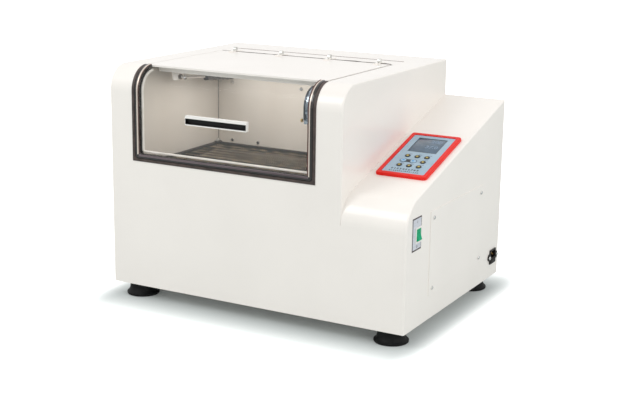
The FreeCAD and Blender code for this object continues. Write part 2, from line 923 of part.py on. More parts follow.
def hinge_lid_leaves():
    surface = height + lid_top_proud
    leaves = []
    for x in hinge_xs():
        pieces = []
        bores = []
        for x0 in (x - hinge_body_width / 2 - hinge_split - hinge_lid_width,
                   x + hinge_body_width / 2 + hinge_split):
            x1 = x0 + hinge_lid_width
            barrel, bore = knuckle(x0, x1, hinge_knuckle_radius, hinge_pin_radius + running_gap)
            web = box(x0, x1, hinge_y - hinge_knuckle_radius, hinge_y, surface + touch_gap, hinge_z)
            pieces += [barrel, web]
            bores.append(bore)
        outside = hinge_body_width / 2 + hinge_split + hinge_lid_width
        plate = box(x - outside, x + outside, lid_rear - hinge_leaf_length,
                    hinge_y - hinge_knuckle_radius - hinge_split, surface,
                    surface + hinge_lid_leaf_thickness)
        arms = [box(x0, x0 + hinge_lid_width, plate.BoundBox.YMax, hinge_y - hinge_split, surface,
                    surface + hinge_lid_leaf_thickness)
                for x0 in (x - outside, x + outside - hinge_lid_width)]
        leaves.append(without(joined([plate] + arms + pieces), bores))
    return Part.makeCompound(leaves)


def hinge_pins():
    pins = []
    outside = hinge_body_width / 2 + hinge_split + hinge_lid_width + hinge_split
    for x in hinge_xs():
        pins.append(rod(Vec(x - outside, hinge_y, hinge_z), Vec(x + outside, hinge_y, hinge_z),
                        hinge_pin_radius))
    return Part.makeCompound(pins)


def lid_strut_tab():
    tab_x = strut_left_x - stud_length
    top = height - top_inset
    tab_front = strut_front_y - tab_front_reach
    tab_rear = strut_front_y + tab_rear_reach
    tab_bottom = strut_front_z - tab_low_reach
    tab = box(tab_x, tab_x + tab_thickness, tab_front, tab_rear, tab_bottom, top)
    low = [e for e in tab.Edges if abs(e.Vertexes[0].Z - tab_bottom) < tiny
           and abs(e.Vertexes[1].Z - tab_bottom) < tiny
           and abs(e.Vertexes[0].Y - e.Vertexes[1].Y) < tiny]
    tab = tab.makeFillet(tab_corner, low)
    foot = box(tab_x, tab_x + tab_foot, tab_front, tab_rear, top - tab_thickness, top)
    nut = hexagon(Vec(tab_x + tab_thickness, strut_front_y, strut_front_z),
                  across * stud_nut_length, stud_nut_radius)
    stud = rod(Vec(tab_x + tab_thickness, strut_front_y, strut_front_z),
               Vec(strut_left_x - strut_ball_radius - seat_gap, strut_front_y, strut_front_z),
               stud_radius)
    return joined([tab, foot, nut, stud])


def lid_strut_tabs():
    return Part.makeCompound([lid_strut_tab(), mirrored(lid_strut_tab())])


# Gas struts, along the line from the rear pivot to the front ball

def strut_ends():
    rear = Vec(strut_left_x, strut_rear_y, strut_rear_z)
    front = Vec(strut_left_x, strut_front_y, strut_front_z)
    line = front - rear
    way = Vec(line)
    way.normalize()
    return rear, front, way


def strut_cylinder():
    rear, front, way = strut_ends()
    tube_start = rear + way * strut_neck_length
    tube_end = tube_start + way * strut_tube_length
    eye = Part.makeSphere(strut_eye_radius, rear)
    neck = rod(rear, tube_start, strut_neck_radius)
    tube = rod(tube_start, tube_end, strut_tube_radius)
    bore = rod(tube_start + way * strut_cap_length, tube_end - way * strut_gland_length,
               strut_tube_bore)
    gland = rod(tube_end - way * (strut_gland_length + overrun), tube_end + way * overrun,
                strut_rod_radius + running_gap)
    pivot = rod(rear - across * (strut_eye_radius + overrun),
                rear + across * (strut_eye_radius + overrun), stud_radius + running_gap)
    return without(joined([eye, neck, tube]), [bore, gland, pivot])


def strut_rod():
    rear, front, way = strut_ends()
    piston_start = rear + way * (strut_neck_length + strut_cap_length + seat_gap)
    piston = rod(piston_start, piston_start + way * strut_piston_length,
                 strut_tube_bore - running_gap)
    shaft = rod(piston_start, front, strut_rod_radius)
    ball = Part.makeSphere(strut_ball_radius, front)
    return joined([piston, shaft, ball])


# Drive

def drive_frame():
    x0 = inner_left + frame_side_inset
    x1 = inner_right - frame_side_inset
    plate = box(x0, x1, frame_front, frame_rear, frame_plate_bottom, plate_top)
    parts = [plate]
    for x in (x0, x1 - frame_leg):
        for y in (frame_front, frame_rear - frame_leg):
            leg = box(x, x + frame_leg, y, y + frame_leg, base_sheet, frame_plate_bottom)
            hollow = box(x + frame_leg_wall, x + frame_leg - frame_leg_wall, y + frame_leg_wall,
                         y + frame_leg - frame_leg_wall, base_sheet, frame_plate_bottom)
            parts.append(leg.cut(hollow))
    cuts = []
    for x, y in crank_places:
        parts.append(post(x, y, plate_top, plate_top + bearing_tube_height, bearing_tube_radius))
        cuts.append(post(x, y, plate_top, height, bearing_radius))
        cuts.append(post(x, y, 0, height, bearing_seat_radius))
    cuts.append(post(crank_x, motor_y, 0, height, motor_neck_radius))
    return without(joined(parts), cuts)


def shaft_bearings():
    rings = []
    for x, y in crank_places:
        for z in (plate_top, plate_top + bearing_tube_height - bearing_height):
            ring = post(x, y, z, z + bearing_height, bearing_radius)
            rings.append(ring.cut(post(x, y, 0, height, shaft_radius + running_gap)))
    return Part.makeCompound(rings)


def crank_top(x, y):
    disc = post(x, y, disc_bottom, disc_top, disc_radius)
    pin = post(x, y - orbit_radius, disc_top, disc_top + pin_length, pin_radius)
    return [disc, pin]


def drive_crank():
    x, y = crank_places[0]
    pulley_top = pulley_bottom + pulley_height
    shaft = post(x, y, pulley_bottom, disc_bottom, shaft_radius)
    pulley = post(x, y, pulley_bottom, pulley_top, pulley_radius)
    hollow = post(x, y, pulley_bottom - overrun, pulley_top - pulley_web,
                  pulley_radius - pulley_rim)
    hub = post(x, y, pulley_bottom, pulley_top, pulley_hub_radius)
    weight = post(x, y, pulley_top, pulley_top + balance_height, balance_radius)
    weight = weight.common(box(x - pulley_radius, x + pulley_radius, y + orbit_radius,
                               y + pulley_radius, 0, height))
    return joined([pulley.cut(hollow), hub, shaft, weight] + crank_top(x, y))


def idler_crank(index):
    x, y = crank_places[index]
    collar_top = frame_plate_bottom - collar_gap
    shaft = post(x, y, collar_top - collar_height, disc_bottom, shaft_radius)
    collar = post(x, y, collar_top - collar_height, collar_top, collar_radius)
    return joined([shaft, collar] + crank_top(x, y))


def drive_motor():
    body = post(crank_x, motor_y, plate_top, plate_top + motor_height, motor_radius)
    top = plate_top + motor_height
    rims = [e for e in body.Edges if abs(e.CenterOfMass.z - top) < tiny]
    body = body.makeFillet(edge_radius, rims)
    neck = post(crank_x, motor_y, plate_top - frame_plate, plate_top,
                motor_neck_radius - touch_gap)
    bore = post(crank_x, motor_y, 0, top - motor_neck_height, motor_shaft_radius + running_gap)
    return joined([body, neck]).cut(bore)


def motor_pulley():
    shaft = post(crank_x, motor_y, pulley_bottom, plate_top + motor_height - motor_neck_height
                 - seat_gap, motor_shaft_radius)
    wheel = post(crank_x, motor_y, pulley_bottom, pulley_bottom + pulley_height,
                 motor_pulley_radius)
    return joined([shaft, wheel])


def belt_outline(extra):
    # Outer tangents round a large and a small circle in line along y
    large = pulley_radius + extra
    small = motor_pulley_radius + extra
    lean = math.asin((large - small) / motor_setback)
    side_x = math.cos(lean)
    side_y = math.sin(lean)
    large_right = Vec(crank_x + large * side_x, crank_y + large * side_y, 0)
    large_left = Vec(crank_x - large * side_x, crank_y + large * side_y, 0)
    small_right = Vec(crank_x + small * side_x, motor_y + small * side_y, 0)
    small_left = Vec(crank_x - small * side_x, motor_y + small * side_y, 0)
    edges = [Part.makeLine(large_right, small_right),
             Part.Arc(small_right, Vec(crank_x, motor_y + small, 0), small_left).toShape(),
             Part.makeLine(small_left, large_left),
             Part.Arc(large_left, Vec(crank_x, crank_y - large, 0), large_right).toShape()]
    return Part.Face(Part.Wire(edges))


def drive_belt():
    low = pulley_bottom + (pulley_height - belt_width) / 2
    outer = belt_outline(belt_gap + belt_thickness).extrude(up * belt_width)
    inner = belt_outline(belt_gap).extrude(up * belt_width)
    return outer.cut(inner).translated(up * low)


# Platform

def tray_corner(side_x, side_y, inset):
    return (tray_x + side_x * (tray_length / 2 - inset), tray_y + side_y * (tray_depth / 2 - inset))


def tray_corners(inset):
    return [tray_corner(a, b, inset) for a in (-1, 1) for b in (-1, 1)]


def carriage():
    x0, y0 = tray_corner(-1, -1, carriage_margin)
    x1, y1 = tray_corner(1, 1, carriage_margin)
    plate = rounded_box(x0, x1, y0, y1, carriage_bottom, carriage_top, carriage_corner)
    bosses = [post(x, y - orbit_radius, boss_bottom, carriage_bottom, carriage_boss_radius)
              for x, y in crank_places]
    bores = [post(x, y - orbit_radius, 0, height, pin_radius + running_gap)
             for x, y in crank_places]
    taps = [post(x, y, 0, height, post_radius + touch_gap) for x, y in tray_corners(post_inset)]
    return without(joined([plate] + bosses), bores + taps)


def tray_frame():
    x0, y0 = tray_corner(-1, -1, 0)
    x1, y1 = tray_corner(1, 1, 0)
    ring = rounded_box(x0, x1, y0, y1, tray_bottom, tray_top, post_inset)
    inside = box(x0 + tray_bar, x1 - tray_bar, y0 + tray_bar, y1 - tray_bar, 0, height)
    pads = [post(x, y, tray_bottom, tray_top, post_inset) for x, y in tray_corners(post_inset)]
    holes = [post(x, y, 0, height, post_radius + touch_gap) for x, y in tray_corners(post_inset)]
    return without(joined([ring.cut(inside)] + pads), holes)


def tray_posts():
    posts = []
    for x, y in tray_corners(post_inset):
        shoulder = post(x, y, carriage_top, tray_bottom, post_shoulder_radius)
        stud = post(x, y, carriage_bottom, tray_top, post_radius)
        nut = hexagon(Vec(x, y, tray_top), up * post_nut_height, post_nut_radius)
        dome = Part.makeSphere(post_dome_radius, Vec(x, y, tray_top + post_nut_height))
        posts.append(joined([shoulder, stud, nut, dome]))
    return Part.makeCompound(posts)


def coil_point(start_x, y, pitch, turn):
    return Vec(start_x + pitch * turn, y + spring_coil_radius * math.cos(2 * math.pi * turn),
               spring_z + spring_coil_radius * math.sin(2 * math.pi * turn))


def coil_way(pitch, turn):
    way = Vec(pitch, -2 * math.pi * spring_coil_radius * math.sin(2 * math.pi * turn),
              2 * math.pi * spring_coil_radius * math.cos(2 * math.pi * turn))
    way.normalize()
    return way


def tangent_arc(start, end, apex):
    # The arc that leaves start towards apex and meets end from apex
    middle = (start + end) * 0.5
    rise = apex - middle
    slant = math.atan2(rise.Length, (end - start).Length / 2)
    return Part.Arc(start, middle + rise * (math.tan(slant / 2) / math.tan(slant)), end).toShape()


def biarc(start, start_way, end, end_way):
    gap = end - start
    ways = start_way + end_way
    turn = 2 * (1 - start_way.dot(end_way))
    reach = (-gap.dot(ways) + math.sqrt(gap.dot(ways) ** 2 + turn * gap.dot(gap))) / turn
    first = start + start_way * reach
    second = end - end_way * reach
    meet = (first + second) * 0.5
    return [tangent_arc(start, meet, first), tangent_arc(meet, end, second)]


def tray_spring(y):
    x0 = tray_x - tray_length / 2 + tray_bar
    x1 = tray_x + tray_length / 2 - tray_bar
    wire = 2 * spring_wire_radius
    tail = wire + 2 * spring_coil_radius
    pitch = (x1 - x0 - 2 * tail) / spring_curls
    start_x = x0 + tail
    first = coil_point(start_x, y, pitch, 0)
    last = coil_point(start_x, y, pitch, spring_curls)
    entry = Vec(x0 + wire, first.y, spring_z)
    leave = Vec(x1 - wire, last.y, spring_z)
    edges = [Part.makeLine(Vec(x0, first.y, spring_z), entry)]
    edges += biarc(entry, across, first, coil_way(pitch, 0))
    for step in range(steps_per_curl * spring_curls):
        a = step / steps_per_curl
        b = (step + 1) / steps_per_curl
        edges += biarc(coil_point(start_x, y, pitch, a), coil_way(pitch, a),
                       coil_point(start_x, y, pitch, b), coil_way(pitch, b))
    edges += biarc(last, coil_way(pitch, spring_curls), leave, across)
    edges.append(Part.makeLine(leave, Vec(x1, last.y, spring_z)))
    path = Part.Wire(edges)
    ring = Part.Wire(Part.makeCircle(spring_wire_radius, Vec(x0, first.y, spring_z), across))
    shape = path.makePipeShell([ring], True, False)
    return shape, path


def least_gap(path):
    # Distance between stretches of the wire that are more than half a curl apart
    points = path.discretize(Number=curl_samples * spring_curls)
    least = tray_length
    for i in range(len(points)):
        for j in range(i + curl_samples // 2, len(points)):
            least = min(least, (points[i] - points[j]).Length)
    return least - 2 * spring_wire_radius


def tray_springs():
    inner = tray_depth - 2 * tray_bar
    y0 = tray_y - inner / 2
    springs = []
    for row in range(spring_rows):
        spring, path = tray_spring(y0 + inner * (row + 0.5) / spring_rows)
        if row == 0:
            expected = path.Length * math.pi * spring_wire_radius ** 2
            print("spring volume %.1f, section times length %.1f" % (spring.Volume, expected))
            print("least gap of a spring to itself %.2f mm" % least_gap(path))
        springs.append(spring)
    return Part.makeCompound(springs)


# Air and sensing

def fan_face():
    return inner_right + chamber_wall


def heater():
    x = fan_face() + heater_stand
    ring = Part.makeTorus(heater_ring_radius, heater_tube_radius, Vec(x, fan_y, fan_z), across)
    plate_x = fan_face() + fan_plate_stand
    leads = []
    for side in (-1, 1):
        y = fan_y + side * 2 * heater_tube_radius
        z = fan_z - math.sqrt(heater_ring_radius ** 2 - (y - fan_y) ** 2)
        leads.append(rod(Vec(x, y, z), Vec(plate_x, y, z), heater_lead_radius))
    return joined([ring] + leads)


def fan_motor():
    x0 = fan_face() + fan_plate_stand
    x1 = x0 + fan_plate
    plate = box(x0, x1, fan_y - fan_plate_half, fan_y + fan_plate_half,
                fan_z - fan_plate_half, fan_z + fan_plate_half)
    reach = fan_plate_half - fan_post_inset
    posts = [rod(Vec(fan_face(), fan_y + a * reach, fan_z + b * reach),
                 Vec(x0, fan_y + a * reach, fan_z + b * reach), fan_post_radius)
             for a in (-1, 1) for b in (-1, 1)]
    motor = rod(Vec(x1, fan_y, fan_z), Vec(x1 + fan_motor_length, fan_y, fan_z), fan_motor_radius)
    bore = rod(Vec(x0 - overrun, fan_y, fan_z), Vec(x1 + fan_motor_length / 2, fan_y, fan_z),
               fan_shaft_radius + running_gap)
    return joined([plate, motor] + posts).cut(bore)


def fan_wheel():
    x0 = fan_face() + fan_wheel_gap
    x1 = x0 + fan_wheel_depth
    hub = rod(Vec(x0, fan_y, fan_z), Vec(x1, fan_y, fan_z), fan_hub_radius)
    shaft = rod(Vec(x1, fan_y, fan_z), Vec(fan_face() + fan_plate_stand + fan_plate
                                           + fan_motor_length / 2 - seat_gap, fan_y, fan_z),
                fan_shaft_radius)
    plate = rod(Vec(x1 - fan_blade_thickness, fan_y, fan_z), Vec(x1, fan_y, fan_z), fan_radius)
    pieces = [hub, shaft, plate]
    for k in range(fan_blade_count):
        blade = box(x0, x1, fan_y - fan_blade_thickness / 2, fan_y + fan_blade_thickness / 2,
                    fan_z, fan_z + fan_radius)
        blade.rotate(Vec(x0, fan_y, fan_z), across, full_turn * k / fan_blade_count)
        pieces.append(blade)
    return joined(pieces)


def temperature_probe():
    outside = inner_right + chamber_wall
    stem = rod(Vec(inner_right - probe_length, probe_y, probe_z),
               Vec(outside + probe_nut, probe_y, probe_z), probe_radius)
    inner_nut = hexagon(Vec(inner_right - probe_nut, probe_y, probe_z), across * probe_nut,
                        probe_nut_radius)
    outer_nut = hexagon(Vec(outside, probe_y, probe_z), across * probe_nut, probe_nut_radius)
    tip = Part.makeSphere(probe_radius, Vec(inner_right - probe_length, probe_y, probe_z))
    return joined([stem, inner_nut, outer_nut, tip])


def lid_switch():
    arm_left = inner_right - switch_arm_left - switch_arm_width
    lid_switch_bottom = height - lid_switch_drop
    top = lid_switch_bottom + lid_switch_height
    arm_middle_z = height - arm_middle_drop
    arm_end_z = height - arm_end_drop
    body = box(arm_left, inner_right, lid_switch_front, lid_switch_front + lid_switch_depth,
               lid_switch_bottom, top)
    inner_edges = [e for e in body.Edges if e.CenterOfMass.x < arm_left + tiny]
    body = body.makeFillet(edge_radius / 2, inner_edges)
    x = arm_left
    front_arc = Part.Arc(Vec(x, arm_start_y, top - tiny), Vec(x, arm_middle_y, arm_middle_z),
                         Vec(x, arm_end_y, arm_end_z)).toShape()
    rear_arc = Part.Arc(Vec(x, arm_end_y, arm_end_z - arm_thickness),
                        Vec(x, arm_middle_y + arm_thickness, arm_middle_z - arm_thickness),
                        Vec(x, arm_start_y + arm_thickness, top - tiny)).toShape()
    edges = [front_arc, Part.makeLine(Vec(x, arm_end_y, arm_end_z),
                                      Vec(x, arm_end_y, arm_end_z - arm_thickness)), rear_arc,
             Part.makeLine(Vec(x, arm_start_y + arm_thickness, top - tiny),
                           Vec(x, arm_start_y, top - tiny))]
    arm = Part.Face(Part.Wire(edges)).extrude(Vec(switch_arm_width, 0, 0))
    return joined([body, arm])


# Control panel, drawn flat and tipped onto the slope

def panel_bezel():
    x0 = pod_middle - bezel_width / 2
    frame = rounded_box(x0, x0 + bezel_width, bezel_start, bezel_start + bezel_length, 0,
                        bezel_height, bezel_corner)
    rims = [e for e in frame.Edges if all(abs(v.Z - bezel_height) < tiny for v in e.Vertexes)]
    frame = frame.makeFillet(bezel_round, rims)
    inside = rounded_box(face_left, face_left + face_width, face_start, face_start + face_length,
                         -overrun, bezel_height + overrun, bezel_corner / 2)
    return on_slope(frame.cut(inside))


def key_places():
    places = {}
    rows = (("bottom_left", "bottom_middle", "bottom_right"),
            ("arrow_left", "arrow_right", "middle_right"),
            ("top_left", "top_middle", "top_right"))
    for row, names in enumerate(rows):
        for column, name in enumerate(names):
            places[name] = (pod_middle + (column - 1) * key_pitch_x,
                            key_first_row + row * key_pitch_s)
    return places


def panel_face():
    gap = face_gap
    face = rounded_box(face_left + gap, face_left + face_width - gap, face_start + gap,
                       face_start + face_length - gap, 0, face_thickness, bezel_corner / 2 - gap)
    cuts = [box(pod_middle - glass_size / 2, pod_middle + glass_size / 2, glass_start,
                glass_start + glass_size, -overrun, overrun + face_thickness)]
    for x, s in key_places().values():
        cuts.append(post(x, s, -overrun, overrun + face_thickness, key_radius + key_gap))
    return on_slope(without(face, cuts))


def key(x, s):
    cap = post(x, s, -key_flange_gap - key_flange, face_thickness + key_proud, key_radius)
    top = face_thickness + key_proud
    rims = [e for e in cap.Edges if abs(e.CenterOfMass.z - top) < tiny]
    cap = cap.makeFillet(key_proud / 2, rims)
    flange = post(x, s, -key_flange_gap - key_flange, -key_flange_gap, key_flange_radius)
    return on_slope(joined([cap, flange]))


def display_board():
    lap = face_lap + board_margin
    x0 = face_left + lap
    x1 = face_left + face_width - lap
    s0 = face_start + lap
    s1 = face_start + face_length - lap
    board = box(x0, x1, s0, s1, -board_drop - board_thickness, -board_drop)
    body = box(pod_middle - glass_size / 2 - glass_frame, pod_middle + glass_size / 2 + glass_frame,
               glass_start - glass_frame, glass_start + glass_size + glass_frame,
               -board_drop, -touch_gap)
    glass = box(pod_middle - glass_size / 2 + face_gap, pod_middle + glass_size / 2 - face_gap,
                glass_start + face_gap, glass_start + glass_size - face_gap,
                -touch_gap, face_thickness - glass_sunk)
    pillars = [post(x, s0 + pillar_inset, -board_drop, 0, pillar_radius)
               for x in (x0 + pillar_inset, x1 - pillar_inset)]
    return on_slope(joined([board, body, glass] + pillars))


# Power switch

def switch_body():
    y0 = switch_front
    y1 = switch_front + switch_width
    z0 = switch_bottom
    z1 = switch_bottom + switch_height
    frame = box(right, right + switch_proud, y0, y1, z0, z1)
    inset = switch_body_inset
    block = box(right - switch_depth, right, y0 + inset, y1 - inset, z0 + inset, z1 - inset)
    pocket = box(right - switch_pocket, right + overrun, y0 + switch_frame, y1 - switch_frame,
                 z0 + switch_frame, z1 - switch_frame)
    pin_half = (y1 - y0) / 2 - switch_frame + rocker_pin_reach
    holes = rod(Vec(rocker_pivot_x, rocker_middle_y - pin_half, rocker_middle_z),
                Vec(rocker_pivot_x, rocker_middle_y + pin_half, rocker_middle_z),
                rocker_pin_radius + running_gap)
    return joined([frame, block]).cut(pocket).cut(holes)


def switch_rocker():
    half_y = switch_width / 2 - switch_frame - rocker_gap
    half_z = switch_height / 2 - switch_frame - 2 * rocker_gap
    x = rocker_pivot_x
    z = rocker_middle_z
    outline = [(x - rocker_depth, z - half_z), (x + rocker_edge_rise, z - half_z),
               (x + rocker_middle_rise, z), (x + rocker_edge_rise, z + half_z),
               (x - rocker_depth, z + half_z)]
    points = [Vec(a, rocker_middle_y - half_y, b) for a, b in outline + outline[:1]]
    body = Part.Face(Part.makePolygon(points)).extrude(back * (2 * half_y))
    reach = half_y + rocker_gap + rocker_pin_reach - touch_gap
    pin = rod(Vec(x, rocker_middle_y - reach, z), Vec(x, rocker_middle_y + reach, z),
              rocker_pin_radius)
    rocker = joined([body, pin])
    rocker.rotate(Vec(x, rocker_middle_y, z), back, -rocker_tilt)
    return rocker


# Power inlet with its fuse drawer

def inlet_block(x0, x1, grow):
    half_y = inlet_width / 2 - inlet_body_inset + grow
    half_z = inlet_height / 2 - inlet_body_inset + grow
    return box(x0, x1, inlet_middle_y - half_y, inlet_middle_y + half_y,
               inlet_middle_z - half_z, inlet_middle_z + half_z)


def power_inlet():
    x1 = right + inlet_flange
    y = inlet_middle_y
    z = inlet_middle_z
    front = box(right, x1, y - inlet_width / 2, y + inlet_width / 2, z - inlet_height / 2,
                z + inlet_height / 2)
    ears = box(right, x1, y - inlet_ear_width / 2 + inlet_ear_height / 2,
               y + inlet_ear_width / 2 - inlet_ear_height / 2, z - inlet_ear_height / 2,
               z + inlet_ear_height / 2)
    ends = [rod(Vec(right, y + side * (inlet_ear_width - inlet_ear_height) / 2, z),
                Vec(x1, y + side * (inlet_ear_width - inlet_ear_height) / 2, z),
                inlet_ear_height / 2) for side in (-1, 1)]
    block = inlet_block(right - inlet_depth, right, 0)
    socket_z = z - socket_rise
    socket = box(x1 - socket_depth, x1 + overrun, y - socket_width / 2, y + socket_width / 2,
                 socket_z, socket_z + socket_height)
    drawer = drawer_box(x1 - drawer_depth - seat_gap, x1 + overrun, drawer_gap)
    body = without(joined([front, ears, block] + ends), [socket, drawer] + screw_holes())
    contacts = []
    for k in (-1, 0, 1):
        contact_y = y + k * contact_spread
        contact_z = socket_z + socket_height / 2 + (contact_width if k == 0 else -contact_width)
        contacts.append(box(x1 - socket_depth, x1 - socket_depth + contact_length,
                            contact_y - contact_width / 2, contact_y + contact_width / 2,
                            contact_z - contact_height / 2, contact_z + contact_height / 2))
    return joined([body] + contacts)


def drawer_box(x0, x1, grow):
    z0 = inlet_middle_z - drawer_drop
    return box(x0, x1, inlet_middle_y - drawer_width / 2 - grow,
               inlet_middle_y + drawer_width / 2 + grow, z0 - grow, z0 + drawer_height + grow)


def fuse_drawer():
    x1 = right + inlet_flange
    return drawer_box(x1 - drawer_depth, x1 + drawer_proud, 0)


# Every node and its shape

def nodes():
    made = {
        "outer_wrapper": outer_wrapper(),
        "left_side_panel": left_side_panel(),
        "cabinet_right_wall": cabinet_right_wall(),
        "pod_wrapper": pod_wrapper(),
        "pod_side_panel": pod_side_panel(),
        "rear_panel": rear_panel(),
        "base_pan": base_pan(),
        "service_panel": service_panel(),
        "panel_screws": panel_screws(),
        "rubber_feet": rubber_feet(),
        "chamber_liner": chamber_liner(),
        "chamber_floor": chamber_floor(),
        "insulation": insulation(),
        "opening_gasket": opening_gasket(),
        "hinge_strip": hinge_strip(),
        "lid_top": lid_top(),
        "lid_window": lid_window(),
        "lid_trim": lid_trim(),
        "lid_handle": lid_handle(),
        "hinge_lid_leaves": hinge_lid_leaves(),
        "hinge_body_leaves": hinge_body_leaves(),
        "hinge_pins": hinge_pins(),
        "lid_strut_tabs": lid_strut_tabs(),
        "strut_cylinder_left": strut_cylinder(),
        "strut_cylinder_right": strut_cylinder().translated(to_right_strut),
        "strut_rod_left": strut_rod(),
        "strut_rod_right": strut_rod().translated(to_right_strut),
        "drive_frame": drive_frame(),
        "shaft_bearings": shaft_bearings(),
        "drive_motor": drive_motor(),
        "motor_pulley": motor_pulley(),
        "drive_belt": drive_belt(),
        "drive_crank": drive_crank(),
        "idler_crank_left": idler_crank(1),
        "idler_crank_right": idler_crank(2),
        "carriage": carriage(),
        "tray_frame": tray_frame(),
        "tray_posts": tray_posts(),
        "tray_springs": tray_springs(),
        "heater": heater(),
        "fan_motor": fan_motor(),
        "fan_wheel": fan_wheel(),
        "temperature_probe": temperature_probe(),
        "lid_switch": lid_switch(),
        "panel_bezel": panel_bezel(),
        "panel_face": panel_face(),
        "display_board": display_board(),
        "switch_body": switch_body(),
        "switch_rocker": switch_rocker(),
        "power_inlet": power_inlet(),
        "fuse_drawer": fuse_drawer(),
    }
    for name, place in key_places().items():
        made["key_" + name] = key(*place)
    return made


os.makedirs("parts", exist_ok=True)
to_floor = Vec(0, -depth / 2, foot_height)
for name, shape in nodes().items():
    placed = shape.translated(to_floor)
    placed.exportStep("parts/" + name + ".step")
    print(name, "solids", len(placed.Solids), "valid", placed.isValid(),
          "volume %.0f" % placed.Volume)
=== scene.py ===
import math
import bmesh
import bpy
from mathutils import Matrix, Vector


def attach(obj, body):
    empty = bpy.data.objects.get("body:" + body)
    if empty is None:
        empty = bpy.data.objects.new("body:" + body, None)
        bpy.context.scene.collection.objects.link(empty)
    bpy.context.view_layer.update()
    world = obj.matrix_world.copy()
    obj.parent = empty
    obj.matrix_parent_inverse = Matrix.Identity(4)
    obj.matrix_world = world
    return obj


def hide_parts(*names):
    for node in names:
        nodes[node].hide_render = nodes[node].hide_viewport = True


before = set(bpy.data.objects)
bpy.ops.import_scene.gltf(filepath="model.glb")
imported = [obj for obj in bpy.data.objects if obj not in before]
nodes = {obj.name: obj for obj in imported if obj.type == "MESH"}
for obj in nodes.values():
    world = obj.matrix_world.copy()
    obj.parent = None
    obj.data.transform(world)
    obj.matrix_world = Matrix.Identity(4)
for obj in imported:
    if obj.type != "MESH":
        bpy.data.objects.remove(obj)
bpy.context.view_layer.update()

print("frame loaded:", len(nodes), "nodes")

perMetre = 1000  # sizes below are millimetres
quarter = math.pi / 2
casing = {"depth": 466, "feet": 29.5, "height": 442, "bend": 48, "podFront": 233, "podRear": 368}
casing["slope"] = math.atan2(casing["podRear"] - casing["podFront"], casing["depth"])
# degrees under which two faces shade as one skin
shading = {"plain": 35, "bent": 50, "coiled": 60}
# how far a face's normal must point a way to be picked by that way
facing = 0.9
# points closer than this are merged
weld = {"twin": 0.002, "strip": 0.005}


def spot(x, y, z):
    # a place in the casing's own frame: y from the front panel, z from the casing's underside
    return Vector((x, y - casing["depth"] / 2, z + casing["feet"])) / perMetre


def slopeSpot(x, s, n):
    # a place on the pod's slope: s along it from the front corner, n out of it
    a = casing["slope"]
    return spot(x, s * math.cos(a) - n * math.sin(a), casing["podFront"] + s * math.sin(a) + n * math.cos(a))


# Modelling helpers

def clearPick():
    active = bpy.context.view_layer.objects.active
    if active and active.mode != "OBJECT":
        bpy.ops.object.mode_set(mode="OBJECT")
    bpy.ops.object.select_all(action="DESELECT")


def pickOnly(piece):
    clearPick()
    piece.select_set(True)
    bpy.context.view_layer.objects.active = piece


def settle(piece, name):
    # put the piece's place, turn and size into its mesh
    pickOnly(piece)
    piece.name = piece.data.name = name
    bpy.ops.object.transform_apply(location=True, rotation=True, scale=True)
    return piece


def addBlock(name, low, high):
    clearPick()
    a, b = spot(*low), spot(*high)
    bpy.ops.mesh.primitive_cube_add(size=1, location=(a + b) / 2)
    piece = bpy.context.object
    piece.scale = b - a
    return settle(piece, name)


def addRod(name, start, end, radius, sides):
    clearPick()
    line = end - start
    bpy.ops.mesh.primitive_cylinder_add(vertices=sides, radius=radius / perMetre, depth=line.length,
                                        location=(start + end) / 2,
                                        rotation=line.to_track_quat("Z", "Y").to_euler())
    return settle(bpy.context.object, name)


def pickPart(piece, kind, test):
    # in edit mode, pick the faces, edges or corners whose middle passes the test
    pickOnly(piece)
    bpy.ops.object.mode_set(mode="EDIT")
    bpy.ops.mesh.select_mode(type=kind)
    bpy.ops.mesh.select_all(action="DESELECT")
    cage = bmesh.from_edit_mesh(piece.data)
    for part in {"FACE": cage.faces, "EDGE": cage.edges, "VERT": cage.verts}[kind]:
        corners = [part.co] if kind == "VERT" else [corner.co for corner in part.verts]
        if test(sum(corners, Vector()) / len(corners), part):
            part.select_set(True)
    cage.select_flush_mode()
    bmesh.update_edit_mesh(piece.data)


def leaveEdit():
    bpy.ops.object.mode_set(mode="OBJECT")


def roundOff(piece, width, segments=3, angle=40):
    pickOnly(piece)
    bevel = piece.modifiers.new("edges", "BEVEL")
    bevel.width = width / perMetre
    bevel.segments = segments
    bevel.limit_method = "ANGLE"
    bevel.angle_limit = math.radians(angle)
    bpy.ops.object.modifier_apply(modifier=bevel.name)
    return piece


def joinPieces(name, pieces):
    clearPick()
    for piece in pieces:
        piece.select_set(True)
    bpy.context.view_layer.objects.active = pieces[0]
    bpy.ops.object.join()
    return settle(bpy.context.object, name)


def copyPiece(piece, name, shift):
    pickOnly(piece)
    bpy.ops.object.duplicate(linked=False)
    twin = bpy.context.object
    twin.location += Vector(shift) / perMetre
    return settle(twin, name)


def tipOntoSlope(piece, x, s, n):
    # a piece made flat at the world's middle is laid on the pod's slope
    pickOnly(piece)
    piece.matrix_world = Matrix.Translation(slopeSpot(x, s, n)) @ Matrix.Rotation(casing["slope"], 4, "X")
    return settle(piece, piece.name)


def finish(piece, body, material, angle=shading["plain"]):
    pickOnly(piece)
    bpy.ops.object.shade_smooth_by_angle(angle=math.radians(angle))
    piece.data.materials.clear()
    piece.data.materials.append(material)
    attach(piece, body)
    return piece


